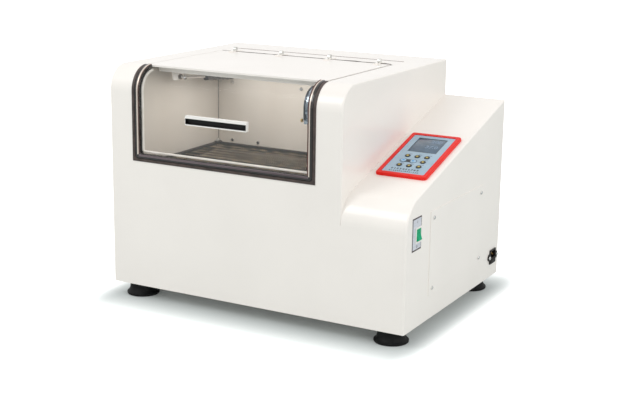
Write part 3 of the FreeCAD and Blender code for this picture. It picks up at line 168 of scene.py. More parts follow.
def smoothTwin(node, body, material):
    # a merged copy of a CAD node, so that its bends shade as one smooth skin
    clearPick()
    twin = bpy.data.objects.new(node + "_skin", nodes[node].data.copy())
    bpy.context.scene.collection.objects.link(twin)
    pickOnly(twin)
    bpy.ops.mesh.customdata_custom_splitnormals_clear()
    bpy.ops.object.mode_set(mode="EDIT")
    bpy.ops.mesh.select_all(action="SELECT")
    bpy.ops.mesh.remove_doubles(threshold=weld["twin"] / perMetre)
    leaveEdit()
    finish(twin, body, material, shading["bent"])
    even = twin.modifiers.new("even_shading", "WEIGHTED_NORMAL")
    even.keep_sharp = True
    bpy.ops.object.modifier_apply(modifier=even.name)
    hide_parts(node)
    return twin


# Finishes

def hexColour(code):
    def channel(text):
        c = int(text, 16) / 255
        return c / 12.92 if c <= 0.04045 else ((c + 0.055) / 1.055) ** 2.4
    return (channel(code[0:2]), channel(code[2:4]), channel(code[4:6]), 1)


def addNode(tree, kind, settings=None, links=None):
    node = tree.nodes.new(kind)
    for name, value in (settings or {}).items():
        if isinstance(name, str) and hasattr(node, name):
            setattr(node, name, value)
        else:
            node.inputs[name].default_value = value
    for name, source in (links or {}).items():
        tree.links.new(source, node.inputs[name])
    return node


# how finely each pattern is broken up, and where the first tone ends and the second begins
pattern = {"toneDetail": 3, "glossDetail": 4, "grainDetail": 2, "toneStops": (0.35, 0.65)}


def makeFinish(name, colour, settings, tones=None, gloss=None, grain=None, stretch=(1, 1, 1)):
    # tones: two close colours and the width of their patches, gloss: least and most roughness and the width
    # of its patches, grain: the width, height and strength of its bumps (widths and height in millimetres)
    material = bpy.data.materials.new(name)
    material.use_nodes = True
    tree = material.node_tree
    shader = tree.nodes["Principled BSDF"]
    shader.inputs["Base Color"].default_value = hexColour(colour)
    for key, value in settings.items():
        shader.inputs[key].default_value = value
    coords = addNode(tree, "ShaderNodeTexCoord")
    place = addNode(tree, "ShaderNodeMapping", {"Scale": stretch}, {"Vector": coords.outputs["Object"]})
    onPlace = {"Vector": place.outputs["Vector"]}
    if tones:
        first, second, width = tones
        noise = addNode(tree, "ShaderNodeTexNoise",
                        {"Scale": perMetre / width, "Detail": pattern["toneDetail"]}, onPlace)
        ramp = addNode(tree, "ShaderNodeValToRGB", links={"Fac": noise.outputs["Fac"]})
        for stop, position, tone in zip(ramp.color_ramp.elements, pattern["toneStops"], (first, second)):
            stop.position, stop.color = position, hexColour(tone)
        tree.links.new(ramp.outputs["Color"], shader.inputs["Base Color"])
    if gloss:
        least, most, width = gloss
        noise = addNode(tree, "ShaderNodeTexNoise",
                        {"Scale": perMetre / width, "Detail": pattern["glossDetail"]}, onPlace)
        spread = addNode(tree, "ShaderNodeMapRange", {"To Min": least, "To Max": most},
                         {"Value": noise.outputs["Fac"]})
        tree.links.new(spread.outputs["Result"], shader.inputs["Roughness"])
    if grain:
        width, height, strength = grain
        noise = addNode(tree, "ShaderNodeTexNoise",
                        {"Scale": perMetre / width, "Detail": pattern["grainDetail"]}, onPlace)
        bump = addNode(tree, "ShaderNodeBump", {"Strength": strength, "Distance": height / perMetre},
                       {"Height": noise.outputs["Fac"]})
        tree.links.new(bump.outputs["Normal"], shader.inputs["Normal"])
    return material


# Powder-coated sheet steel: warm white, half gloss, with the fine orange peel of the baked coat
# (about 1.5 mm wide in life, drawn at 2.4 mm so that it shows)
casingPaint = makeFinish("powder coated steel, warm white", "f1eee9",
                         {"Roughness": 0.34, "Specular IOR Level": 0.45, "Coat Weight": 0.3,
                          "Coat Roughness": 0.07},
                         tones=("f2ede7", "f5f0ea", 167), gloss=(0.28, 0.42, 71.4), grain=(2.38, 0.02, 0.5))

# The chamber's stainless sheet with a matt beige coat: faint waves 4 mm wide, drawn out along z by rolling
linerPaint = makeFinish("matt coated stainless sheet", "cfc6ba", {"Roughness": 0.5, "Metallic": 0.0},
                        tones=("ccc3b7", "d4ccc1", 111), grain=(3.85, 0.02, 0.4), stretch=(1, 1, 0.08))

# Extruded rubber: dark brown-black, dull, with a fine grain of 1.1 mm
gasketRubber = makeFinish("extruded EPDM rubber", "3f3531", {"Roughness": 0.55},
                          tones=("362c29", "4c3f3a", 16.7), grain=(1.11, 0.04, 0.6))

# Moulded rubber of the feet: black with a soft bloom on it and a grain of 1.4 mm
footRubber = makeFinish("moulded natural rubber", "0b0c0c", {"Roughness": 0.6, "Specular IOR Level": 0.2},
                        tones=("090a0a", "121314", 28.6), grain=(1.43, 0.05, 0.5))

# Extruded PVC section, polished black: mirrors the lamps in narrow streaks
polishedTrim = makeFinish("extruded PVC, polished black", "1c1817",
                          {"Roughness": 0.16, "Specular IOR Level": 0.4, "Coat Weight": 0.6,
                           "Coat Roughness": 0.05},
                          tones=("161313", "2b2422", 18.2), stretch=(1, 1, 0.05))

# Black sponge rubber behind the window and under the nuts of the tray's posts
blackRubber = makeFinish("sponge rubber, black", "1a1817", {"Roughness": 0.6},
                         tones=("141312", "242120", 14.3))

# Cast acrylic: clear with a faint cool veil
clearAcrylic = makeFinish("cast acrylic", "eef2f1",
                          {"Roughness": 0.03, "Alpha": 0.035, "Specular IOR Level": 0.5},
                          gloss=(0.02, 0.05, 125))

# Injection-moulded white ABS of the grip and the switch, half dull from its spark-eroded mould
# (grain 0.1 mm wide in life, drawn at 0.8 mm so that it shows, as on the black ABS)
paleAbs = makeFinish("moulded ABS, white", "f1efeb", {"Roughness": 0.42},
                     tones=("eeece8", "f4f2ee", 25), grain=(0.833, 0.03, 0.4))

# Black ABS of the grip's inset and the lid switch: half dull, with the same grain
blackAbs = makeFinish("moulded ABS, black", "100f10", {"Roughness": 0.42, "Specular IOR Level": 0.25},
                      tones=("0d0c0d", "171516", 20), grain=(0.833, 0.03, 0.5))

# Dark plastic of the mains inlet and its drawer, slightly brown, with its grain drawn at 0.9 mm
inletPlastic = makeFinish("moulded polyamide, brown black", "141010",
                          {"Roughness": 0.45, "Specular IOR Level": 0.25},
                          tones=("110d0d", "1c1514", 16.7), grain=(0.909, 0.03, 0.4))

# Zinc-plated steel: bright, with clouds 11 mm wide
zincSteel = makeFinish("zinc plated steel", "d9d9d8", {"Metallic": 1.0, "Roughness": 0.24},
                       tones=("cfd0d0", "e3e2df", 11.1), gloss=(0.16, 0.34, 8.33))

# Chromium-plated rods, balls and probe: near mirrors
chromeSteel = makeFinish("hard chromium plate", "dedede", {"Metallic": 1.0, "Roughness": 0.08},
                         gloss=(0.05, 0.14, 5))

# Bright nickel plate of the hinges' knuckles, a little clouded
knucklePlate = makeFinish("nickel plated steel", "dddeda", {"Metallic": 0.8, "Roughness": 0.25},
                          tones=("cbccc8", "eaebe7", 7.14))

# Turned brass of the lid switch's screw and the inlet's blades: soft yellow shine
turnedBrass = makeFinish("turned brass", "b5975a", {"Metallic": 1.0, "Roughness": 0.28},
                         tones=("a5864a", "c4a86c", 6.67))

# Stoved enamel of the gas spring tubes: smooth and deep black
blackEnamel = makeFinish("stoved black enamel", "161616",
                         {"Roughness": 0.25, "Coat Weight": 0.5, "Coat Roughness": 0.1},
                         gloss=(0.2, 0.35, 12.5))

# Dip paint on the tray's bars: dark, half dull, with drips 2 mm apart
trayPaint = makeFinish("dip painted steel, dark", "1f1a17", {"Roughness": 0.5, "Specular IOR Level": 0.25},
                       tones=("191512", "2b2420", 22.2), grain=(2, 0.03, 0.5))

# Milled aluminium plate with its fine cutter marks 1 mm apart
milledAluminium = makeFinish("milled aluminium", "b9b5ae", {"Metallic": 1.0, "Roughness": 0.32},
                             tones=("aca8a1", "c6c2bb", 1), stretch=(1, 0.04, 1))

# Ground steel of shafts and bearings: streaks along z, drawn 2.5 mm wide so that they show
groundSteel = makeFinish("ground carbon steel", "a9a8a6", {"Metallic": 1.0, "Roughness": 0.2},
                         gloss=(0.14, 0.3, 2.5), stretch=(1, 1, 0.1))

# Air-drying machine paint of the hidden drive: slate grey, with brush marks 3 mm wide
machinePaint = makeFinish("machine paint, slate", "4d5155", {"Roughness": 0.5},
                          tones=("45494d", "565a5e", 40), grain=(3.33, 0.05, 0.5))

# Mineral wool board: straw grey and fully dull, its tufts 2.4 mm wide and pressed flat
mineralWool = makeFinish("mineral wool board", "cdbf9a", {"Roughness": 0.95},
                         tones=("b7a87f", "ddd2b2", 7.69), grain=(2.38, 0.8, 0.8), stretch=(1, 1, 4))

# Injection-moulded frame of the keyboard: signal red, glossy, with a faint grain of 1.1 mm
redFrame = makeFinish("moulded ABS, signal red", "e6221a", {"Roughness": 0.3, "Specular IOR Level": 0.2},
                      tones=("e31e16", "ea281f", 33.3), grain=(1.11, 0.02, 0.4))

# Printed polyester film: pale blue, satin, with its very fine emboss drawn at 0.7 mm so that it shows
membraneFilm = makeFinish("printed polyester film", "a9bccd", {"Roughness": 0.36, "Specular IOR Level": 0.3},
                          tones=("9fb8c9", "abc2d2", 25), grain=(0.667, 0.01, 0.4))

# Screen inks on the film, flat and even, and the pale figures of the display
inkBlack = makeFinish("screen ink, black", "22262c", {"Roughness": 0.4}, tones=("1e2227", "2a2e35", 3.33))
inkCyan = makeFinish("screen ink, light blue", "9adcf6", {"Roughness": 0.4}, tones=("8ed4f2", "a8e4fa", 3.33))
inkNavy = makeFinish("screen ink, dark slate", "364450", {"Roughness": 0.4}, tones=("303d48", "3f4e5b", 3.33))
inkSlate = makeFinish("screen ink, slate blue", "526482", {"Roughness": 0.45},
                      tones=("4c5e7c", "5a6c8a", 3.33))
inkPale = makeFinish("liquid crystal figures, pale", "7389a0", {"Roughness": 0.4},
                     tones=("6c8299", "7b91a8", 3.33))

# Liquid crystal display behind a glossy filter: slate with faint clouds
displayFilm = makeFinish("liquid crystal display", "4d6478",
                         {"Roughness": 0.16, "Coat Weight": 0.15, "Coat Roughness": 0.05},
                         tones=("485e70", "566e83", 22.2))

# Silicone keys: black caps with a yellow dot, the two arrow keys pale blue with a stronger blue dot
keyBlack = makeFinish("moulded silicone, black", "24231f", {"Roughness": 0.35},
                      tones=("1d1c19", "2e2c26", 5))
keyYellow = makeFinish("moulded silicone, yellow", "c9b03a", {"Roughness": 0.32},
                       tones=("bda431", "d7c04c", 4))
keyBlue = makeFinish("moulded silicone, pale blue", "a4c6de",
                     {"Roughness": 0.25, "Coat Weight": 0.3, "Coat Roughness": 0.08},
                     tones=("98bdd8", "b2d0e4", 4))
keyCyan = makeFinish("moulded silicone, blue", "2f97dc", {"Roughness": 0.3}, tones=("2a8ed3", "41a6e6", 4))

# Rocker of tinted polycarbonate, moulded smooth
rockerGreen = makeFinish("tinted polycarbonate, green", "009a62",
                         {"Roughness": 0.35, "Specular IOR Level": 0.1}, tones=("009662", "00a878", 8.33))

# Switch plate: foil brushed along y, lilac grey, with a border printed in brown grey
plateFilm = makeFinish("printed aluminium foil", "cbced6", {"Roughness": 0.35},
                       tones=("c5c8d1", "d3d6de", 3.33), stretch=(1, 0.1, 1))
plateBorder = makeFinish("screen ink, brown grey", "453a38", {"Roughness": 0.45},
                         tones=("3e3432", "4d423f", 4))

# White silicone seal on the window's inner face: soft and even
whiteSeal = makeFinish("silicone seal, white", "e9e3da", {"Roughness": 0.4}, tones=("e2dbd1", "efe9e1", 20))

# Satin bead of the trim, two copies of one aluminium, softly reflecting: pale champagne on the jambs, a
# painted reflection of the bright room, and dark along the foot, a painted reflection of the darker floor
beadPaleReflection = makeFinish("satin anodised aluminium", "dccfc3", {"Metallic": 0.6, "Roughness": 0.32},
                       tones=("d2c4b8", "e6dace", 16.7), stretch=(1, 1, 0.1))
beadDarkReflection = makeFinish("satin anodised aluminium, painted dark reflection", "6a5e62", {"Metallic": 0.5, "Roughness": 0.35},
                        tones=("5f5458", "766a6e", 16.7), stretch=(0.1, 1, 1))

# Sealants: red-brown behind the hinge strip, grey in the chamber's corner; the same red-brown along the
# window is painted shade in the gap between bead and window
brownSealantAndGapShade = makeFinish("silicone sealant and painted gap shade, red brown", "4e2e29", {"Roughness": 0.5},
                          tones=("452722", "5f3a33", 8.33))
greySealant = makeFinish("silicone sealant, grey", "6b645f", {"Roughness": 0.55},
                         tones=("59534f", "8a827b", 11.1))

# Bright drawn spring steel of the lid switch's leaf, slightly blue, and a darker copy of it along the leaf's
# edge, painted shade
leafSteel = makeFinish("bright drawn spring steel", "66717d", {"Metallic": 1.0, "Roughness": 0.2},
                       tones=("56626e", "b3bdc6", 6.25))
shadedLeafSteel = makeFinish("spring steel, painted shade", "31363d", {"Metallic": 1.0, "Roughness": 0.3},
                       tones=("24282e", "4a525b", 7.14))

# Black-oxide steel of the struts' nuts, worn to grey
dullSteel = makeFinish("black oxide steel, worn", "7c736c", {"Metallic": 1.0, "Roughness": 0.35},
                       tones=("635b55", "9a918a", 6.25))

# Glass epoxy of the display's board: green, smooth
boardLaminate = makeFinish("glass epoxy laminate", "2f6b45", {"Roughness": 0.35},
                           tones=("2a6240", "37774e", 8.33))


def makeSpringSteel():
    # Oil-hardened spring wire: a painted highlight on the coils' tops, painted shade under them, and painted
    # glints (shadeHeight and highlightHeight are heights over the floor, between which the highlight rises
    # from least to most)
    paintedLight = {"shadeHeight": 273.5, "highlightHeight": 279.5, "least": -0.45, "most": 0.55, "glintPatch": 6.67,
            "stops": (0.5, 0.9), "tones": ("0c0807", "f2dcc0")}
    material = makeFinish("oil hardened spring wire", "6b5a4c", {"Metallic": 0.7, "Roughness": 0.24})
    tree = material.node_tree
    place = next(node for node in tree.nodes if node.type == "MAPPING").outputs["Vector"]
    split = addNode(tree, "ShaderNodeSeparateXYZ", links={"Vector": place})
    rise = addNode(tree, "ShaderNodeMapRange",
                   {"From Min": paintedLight["shadeHeight"] / perMetre, "From Max": paintedLight["highlightHeight"] / perMetre,
                    "To Min": paintedLight["least"], "To Max": paintedLight["most"]}, {"Value": split.outputs["Z"]})
    glintPatch = addNode(tree, "ShaderNodeTexNoise",
                    {"Scale": perMetre / paintedLight["glintPatch"], "Detail": pattern["toneDetail"]}, {"Vector": place})
    both = addNode(tree, "ShaderNodeMath", {"operation": "ADD"},
                   {0: rise.outputs["Result"], 1: glintPatch.outputs["Fac"]})
    ramp = addNode(tree, "ShaderNodeValToRGB", links={"Fac": both.outputs[0]})
    for stop, position, tone in zip(ramp.color_ramp.elements, paintedLight["stops"], paintedLight["tones"]):
        stop.position, stop.color = position, hexColour(tone)
    tree.links.new(ramp.outputs["Color"], tree.nodes["Principled BSDF"].inputs["Base Color"])
    return material


springSteel = makeSpringSteel()
print("materials made:", len(bpy.data.materials))

# CAD nodes get their finish

nodeFinish = {
    "outer_wrapper": casingPaint, "left_side_panel": casingPaint, "cabinet_right_wall": casingPaint,
    "pod_wrapper": casingPaint, "pod_side_panel": casingPaint, "rear_panel": casingPaint,
    "base_pan": casingPaint, "service_panel": casingPaint, "hinge_strip": casingPaint,
    "lid_top": casingPaint, "panel_screws": zincSteel, "rubber_feet": footRubber,
    "chamber_liner": linerPaint, "chamber_floor": linerPaint, "insulation": mineralWool,
    "opening_gasket": gasketRubber, "lid_window": clearAcrylic, "lid_trim": polishedTrim,
    "lid_handle": paleAbs, "hinge_lid_leaves": zincSteel, "hinge_body_leaves": zincSteel,
    "hinge_pins": chromeSteel, "lid_strut_tabs": casingPaint, "strut_cylinder_left": blackEnamel,
    "strut_cylinder_right": blackEnamel, "strut_rod_left": chromeSteel, "strut_rod_right": chromeSteel,
    "drive_frame": machinePaint, "drive_motor": machinePaint, "shaft_bearings": groundSteel,
    "motor_pulley": milledAluminium, "drive_belt": footRubber, "drive_crank": groundSteel,
    "idler_crank_left": groundSteel, "idler_crank_right": groundSteel, "carriage": milledAluminium,
    "tray_frame": trayPaint, "tray_posts": zincSteel, "tray_springs": springSteel,
    "heater": chromeSteel, "fan_motor": machinePaint, "fan_wheel": milledAluminium,
    "temperature_probe": chromeSteel, "lid_switch": blackAbs, "panel_bezel": redFrame,
    "panel_face": membraneFilm, "display_board": boardLaminate, "switch_body": paleAbs,
    "switch_rocker": rockerGreen, "power_inlet": inletPlastic, "fuse_drawer": inletPlastic,
    "key_arrow_left": keyBlue, "key_arrow_right": keyBlue,
}
for name, piece in nodes.items():
    piece.data.materials.clear()
    piece.data.materials.append(nodeFinish.get(name, keyBlack))
print("CAD nodes dressed")

# Tray springs with dense coils

springs = {"rows": 11, "left": -244.4, "right": 111.6, "front": 24.6, "rear": 266.6, "height": 245,
           "coilRadius": 3.6, "wireRadius": 0.85, "pitch": 4.7, "sides": 6, "steps": 10,
           "sagDepth": 5.5, "sagLength": 18}


def coilSpring(name, y):
    # one ring of wire, screwed along the row
    clearPick()
    bpy.ops.mesh.primitive_circle_add(vertices=springs["sides"], radius=springs["wireRadius"] / perMetre,
                                      location=(0, 0, springs["coilRadius"] / perMetre),
                                      rotation=(quarter, 0, 0))
    piece = settle(bpy.context.object, name)
    length = springs["right"] - springs["left"]
    screw = piece.modifiers.new("coil", "SCREW")
    screw.axis = "X"
    screw.angle = 4 * quarter
    screw.steps = screw.render_steps = springs["steps"]
    screw.iterations = round(length / springs["pitch"])
    screw.screw_offset = length / perMetre / screw.iterations
    bpy.ops.object.modifier_apply(modifier=screw.name)
    piece.location = spot(springs["left"], y, springs["height"])
    return settle(piece, name)


rowGap = (springs["rear"] - springs["front"]) / springs["rows"]
rows = [coilSpring("spring_row_01", springs["front"] + rowGap / 2)]
for row in range(1, springs["rows"]):
    rows.append(copyPiece(rows[0], "spring_row_%02d" % (row + 1), (0, rowGap * row, 0)))
sag = bpy.data.textures.new("sag", "CLOUDS")
sag.noise_scale = springs["sagLength"] / perMetre
for piece in rows:
    pickOnly(piece)
    wave = piece.modifiers.new("sag", "DISPLACE")
    wave.texture = sag
    wave.texture_coords = "LOCAL"
    wave.direction = "Z"
    wave.strength = springs["sagDepth"] / perMetre
    bpy.ops.object.modifier_apply(modifier=wave.name)
    finish(piece, "platform", springSteel, shading["coiled"])
    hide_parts("tray_springs")
print("springs coiled:", len(rows))

# Strips that follow the front bend, from the window's foot to under the lid's top

# outer and inner are how deep a strip's two faces lie under the casing's skin
lidEdge = {"rear": 44.8, "bendSteps": 20, "cornerSteps": 6, "roundSteps": 3}


def startSection(name, low, high, turn, rounding):
    # a flat section with rounded corners, picked and ready to be carried along
    clearPick()
    bpy.ops.mesh.primitive_plane_add(size=1, location=(low + high) / 2, rotation=(turn, 0, 0))
    piece = bpy.context.object
    size = high - low
    piece.scale = (size.x, size.z if turn else size.y, 1)
    settle(piece, name)
    bpy.ops.object.mode_set(mode="EDIT")
    bpy.ops.mesh.select_all(action="SELECT")
    bpy.ops.mesh.bevel(offset=rounding / perMetre, segments=lidEdge["roundSteps"], affect="VERTICES")
    bpy.ops.mesh.select_all(action="SELECT")
    return piece


def runSection(x, y, z):
    way = (x / perMetre, y / perMetre, z / perMetre)
    bpy.ops.mesh.extrude_region_move(TRANSFORM_OT_translate={"value": way})


def bendSection(turn):
    # round the casing's front bend; the spin turns against the right hand
    centre = spot(0, casing["bend"], casing["height"] - casing["bend"])
    bpy.ops.mesh.spin(steps=lidEdge["bendSteps"], angle=turn, axis=(1, 0, 0), center=centre)


def cornerSection(x, z):
    centre = spot(x, 0, z)
    bpy.ops.mesh.spin(steps=lidEdge["cornerSteps"], angle=quarter, axis=(0, 1, 0), center=centre)


def closeStrip(piece):
    # cut off what reaches under the lid's top, and turn the skin outwards
    bpy.ops.mesh.select_all(action="SELECT")
    bpy.ops.mesh.bisect(plane_co=spot(0, lidEdge["rear"], 0), plane_no=(0, 1, 0), clear_outer=True,
                        use_fill=True)
    bpy.ops.mesh.select_all(action="SELECT")
    bpy.ops.mesh.remove_doubles(threshold=weld["strip"] / perMetre)
    bpy.ops.mesh.normals_make_consistent(inside=False)
    leaveEdit()
    return piece


def frameStrip(name, strip):
    # down the left jamb, along the foot and up the right jamb
    corner, foot, left, right = strip["corner"], strip["foot"], strip["left"], strip["right"]
    bend, top = casing["bend"], casing["height"]
    jamb = top - bend - foot - corner
    piece = startSection(name, spot(left, bend, top - strip["inner"]),
                         spot(left + strip["width"], bend, top - strip["outer"]), quarter, strip["round"])
    bendSection(-quarter)
    runSection(0, 0, -jamb)
    cornerSection(left + corner, foot + corner)
    runSection(right - left - 2 * corner, 0, 0)
    cornerSection(right - corner, foot + corner)
    runSection(0, 0, jamb)
    bendSection(quarter)
    return closeStrip(piece)


def jambStrip(name, sides, strip):
    # one jamb with its bend, from the foot upwards; sides are its left and right
    left, right = sides
    piece = startSection(name, spot(left, strip["outer"], strip["foot"]),
                         spot(right, strip["inner"], strip["foot"]), 0, strip["round"])
    runSection(0, 0, casing["height"] - casing["bend"] - strip["foot"])
    bendSection(quarter)
    return closeStrip(piece)


# the leaf is drawn slimmer than its CAD body, against the wall that it is fixed to
leaf = {"across": 0.86, "along": 0.92, "root": (135.2, 40, 438.6)}
switchLeaf = smoothTwin("lid_switch", "cabinet", leafSteel)
pickPart(switchLeaf, "VERT", lambda place, corner: True)
bpy.ops.transform.resize(value=(leaf["across"], 1, leaf["along"]), center_override=spot(*leaf["root"]))
leaveEdit()
smoothTwin("lid_trim", "lid", polishedTrim)
smoothTwin("lid_window", "lid", clearAcrylic)
smoothTwin("opening_gasket", "cabinet", gasketRubber)

# the hinges' leaves are painted with the casing, and their narrow knuckles stay bright
hinge = {"middles": (-234.5, -120, -5.5, 109), "reach": 8, "y": 319, "radius": 5.3, "top": 444.6,
         "slim": 0.55}
for node, body in (("hinge_lid_leaves", "lid"), ("hinge_body_leaves", "cabinet"), ("hinge_pins", "cabinet")):
    leaves = smoothTwin(node, body, chromeSteel if node == "hinge_pins" else casingPaint)
    for middle in hinge["middles"]:
        near = spot(middle, hinge["y"], hinge["top"])
        pickPart(leaves, "VERT", lambda place, corner: abs(place.x - near.x) < hinge["reach"] / perMetre
                 and abs(place.y - near.y) < hinge["radius"] / perMetre)
        bpy.ops.transform.resize(value=(hinge["slim"], 1, 1), center_override=near)
        leaveEdit()
    if node != "hinge_pins":
        leaves.data.materials.append(knucklePlate)
        pickPart(leaves, "FACE", lambda place, face: place.z > near.z)
        leaves.active_material_index = 1
        bpy.ops.object.material_slot_assign()
        leaveEdit()

# behind the window a black rubber runs round, and inside it the white seal shows as a fine line
innerRubber = {"left": -258.4, "right": 125.6, "foot": 267.8, "width": 3.1, "outer": 7.25, "inner": 11.6,
               "corner": 7.0, "round": 0.5}
finish(frameStrip("window_rubber", innerRubber), "lid", blackRubber)
seal = {"left": -255.3, "right": 122.5, "foot": 273.6, "width": 3.9, "outer": 7.3, "inner": 11.6,
        "corner": 5.0, "round": 1.0}
finish(frameStrip("lid_seal", seal), "lid", whiteSeal)

# the lid switch's leaf follows the window's bend: a dark edge, painted shade in a darker copy of the steel,
# and its bright face
leafEdge = {"sides": (106.4, 109.6), "outer": 10.5, "inner": 14.3, "foot": 373.0, "round": 0.4}
finish(jambStrip("leaf_edge", leafEdge["sides"], leafEdge), "cabinet", shadedLeafSteel)
leafFace = {"sides": (109.8, 115.0), "outer": 11.2, "inner": 14.3, "foot": 384.0, "round": 0.4}
finish(jambStrip("leaf_face", leafFace["sides"], leafFace), "cabinet", leafSteel)

# a satin bead is pressed into the trim: its pale colour on the jambs and their bends and its darker colour
# along the foot are painted reflections
bead = {"left": (-260.4, -256.8), "right": (125.0, 127.6), "outer": -2.3, "inner": -1.0, "foot": 270.6,
        "round": 0.5, "footLow": 266.6, "footHigh": 270.8}
beadJambs = [jambStrip("bead_" + side, bead[side], bead) for side in ("left", "right")]
finish(joinPieces("trim_bead", beadJambs), "lid", beadPaleReflection)
beadFoot = addBlock("trim_bead_foot", (bead["left"][1], bead["outer"], bead["footLow"]),
                    (bead["right"][0], bead["inner"], bead["footHigh"]))
finish(roundOff(beadFoot, bead["round"]), "lid", beadDarkReflection)

# painted shade: a red-brown strip in the gap between the bead and the window
gapShade = {"left": (-256.6, -255.2), "right": (122.4, 124.7), "outer": -2.2, "inner": -1.0, "foot": 272.6,
           "round": 0.3}
gapShadeJambs = [jambStrip("gap_shade_" + side, gapShade[side], gapShade) for side in ("left", "right")]
finish(joinPieces("window_gap_shade", gapShadeJambs), "lid", brownSealantAndGapShade)


def wavyBar(name, bar):
    # a bar along x whose length is cut up and stirred a little, as soft strip is when pressed in by hand
    piece = addBlock(name, bar["low"], bar["high"])
    pickPart(piece, "EDGE", lambda middle, edge:
             abs(edge.verts[0].co.x - edge.verts[1].co.x) > edge.calc_length() / 2)
    bpy.ops.mesh.subdivide(number_cuts=bar["cuts"])
    leaveEdit()
    stir = bpy.data.textures.new(name, "CLOUDS")
    stir.noise_scale = bar["waveLength"] / perMetre
    for axis in ("Y", "Z"):
        move = piece.modifiers.new("stir", "DISPLACE")
        move.texture = stir
        move.texture_coords = "LOCAL"
        move.direction = axis
        move.strength = bar["waveHeight"] / perMetre
        bpy.ops.object.modifier_apply(modifier=move.name)
    return piece


# dark strip in the gap behind the lid's top, a little wavy, and the fine dark seam behind the hinge strip
rearGap = {"low": (-266, 317.4, 438.6), "high": (134, 320.6, 443.0), "cuts": 90, "waveLength": 26,
           "waveHeight": 1.8}
finish(wavyBar("rear_gap_seal", rearGap), "cabinet", gasketRubber)
stripSeam = {"low": (-271, 372.0, 441.6), "high": (138, 374.2, 442.35), "cuts": 60, "waveLength": 40,
             "waveHeight": 0.3}
finish(wavyBar("strip_rear_seam", stripSeam), "cabinet", brownSealantAndGapShade)

# dark joint in the chamber's left rear corner
cornerSeam = {"low": (-268.0, 301.9, 206), "high": (-266.9, 303.0, 425), "round": 0.3}
chamberSeam = addBlock("chamber_corner_seam", cornerSeam["low"], cornerSeam["high"])
finish(roundOff(chamberSeam, cornerSeam["round"], 2), "cabinet", greySealant)

# Grip with a black inset in its slot

grip = {"left": -143.1, "right": -6.9, "low": 342.6, "high": 353.8, "front": -4.95, "floor": 2.0,
        "wall": 0.35, "play": 0.02, "depth": 6.2}
inset = addBlock("handle_inset", (grip["left"] + grip["play"], grip["front"], grip["low"] + grip["play"]),
                 (grip["right"] - grip["play"], grip["floor"] - grip["play"], grip["high"] - grip["play"]))
pickPart(inset, "FACE", lambda middle, face: face.normal.y < -facing)
bpy.ops.mesh.inset(thickness=grip["wall"] / perMetre)
runSection(0, grip["depth"], 0)
leaveEdit()
finish(inset, "lid", blackAbs)

# Fittings: nuts on the lid's tabs, brass screw of the lid switch, rubber washers under the tray's nuts

nut = {"left": -242.9, "width": 5.2, "radius": 5.8, "y": 121, "z": 411, "lidMiddle": -66.4, "sides": 6,
       "round": 0.5, "angle": 20}
nutPlaces = {"strut_nut_left": nut["left"],
             "strut_nut_right": 2 * nut["lidMiddle"] - nut["left"] - nut["width"]}
for name, x in nutPlaces.items():
    piece = addRod(name, spot(x, nut["y"], nut["z"]), spot(x + nut["width"], nut["y"], nut["z"]),
                   nut["radius"], nut["sides"])
    finish(roundOff(piece, nut["round"], 2, nut["angle"]), "lid", dullSteel)

screwHead = {"root": 100.4, "tip": 97.6, "y": 19, "z": 370, "radius": 3.4, "sides": 24, "round": 0.7,
             "rim": 1.2, "socket": 0.8}
switchScrew = addRod("lid_switch_screw", spot(screwHead["root"], screwHead["y"], screwHead["z"]),
                     spot(screwHead["tip"], screwHead["y"], screwHead["z"]), screwHead["radius"],
                     screwHead["sides"])
roundOff(switchScrew, screwHead["round"])
pickPart(switchScrew, "FACE", lambda middle, face: face.normal.x < -facing)
bpy.ops.mesh.inset(thickness=screwHead["rim"] / perMetre)
runSection(screwHead["socket"], 0, 0)
leaveEdit()
finish(switchScrew, "cabinet", turnedBrass)

washer = {"radius": 8.5, "low": 252.0, "high": 254.2, "left": -246.4, "right": 113.6, "front": 22.6,
          "rear": 268.6, "sides": 36, "round": 0.4}
washers = [addRod("washer", spot(x, y, washer["low"]), spot(x, y, washer["high"]), washer["radius"],
                  washer["sides"])
           for x in (washer["left"], washer["right"]) for y in (washer["front"], washer["rear"])]
postWashers = roundOff(joinPieces("post_washers", washers), washer["round"], 2)
finish(postWashers, "platform", blackRubber)
print("lid pieces made")

# Control panel: s runs up the slope from its front corner, n out of it

panel = {"middle": 259, "left": 215.7, "right": 302.3, "start": 122.2, "end": 280.3, "ink": 4.48,
         "lineWidth": 1.1, "lineHeight": 0.12, "lineInset": 1.4, "keyRows": (153.5, 173.0, 192.5),
         "keyPitch": 20, "capTop": 5.6, "figureFoot": 4.53}


def flatBlock(name, x, s, n, width, length, height):
    # a block made flat at the middle, then laid on the slope with its foot at n
    clearPick()
    bpy.ops.mesh.primitive_cube_add(size=1, location=(0, 0, height / 2 / perMetre))
    piece = bpy.context.object
    piece.scale = (width / perMetre, length / perMetre, height / perMetre)
    settle(piece, name)
    return tipOntoSlope(piece, x, s, n)


lines = []
halfX = (panel["right"] - panel["left"]) / 2 - panel["lineInset"]
halfS = (panel["end"] - panel["start"]) / 2 - panel["lineInset"]
midS = (panel["start"] + panel["end"]) / 2
for side in (-1, 1):
    lines.append(flatBlock("line", panel["middle"] + side * halfX, midS, panel["ink"], panel["lineWidth"],
                           2 * halfS + panel["lineWidth"], panel["lineHeight"]))
    lines.append(flatBlock("line", panel["middle"], midS + side * halfS, panel["ink"],
                           2 * halfX + panel["lineWidth"], panel["lineWidth"], panel["lineHeight"]))
finish(joinPieces("panel_border_lines", lines), "cabinet", inkCyan)

display = {"start": 211.7, "size": 59.2, "foot": 3.65, "thick": 0.35, "round": 0.15, "borderFoot": 3.98,
           "borderHeight": 0.1, "sideWidth": 1.6, "endWidth": 2.2, "edge": 0.1, "opening": 59.6,
           "figureFoot": 4.02}
displayS = display["start"] + display["opening"] / 2
screen = flatBlock("display_screen", panel["middle"], displayS, display["foot"], display["size"],
                   display["size"], display["thick"])
finish(roundOff(screen, display["round"], 2), "cabinet", displayFilm)


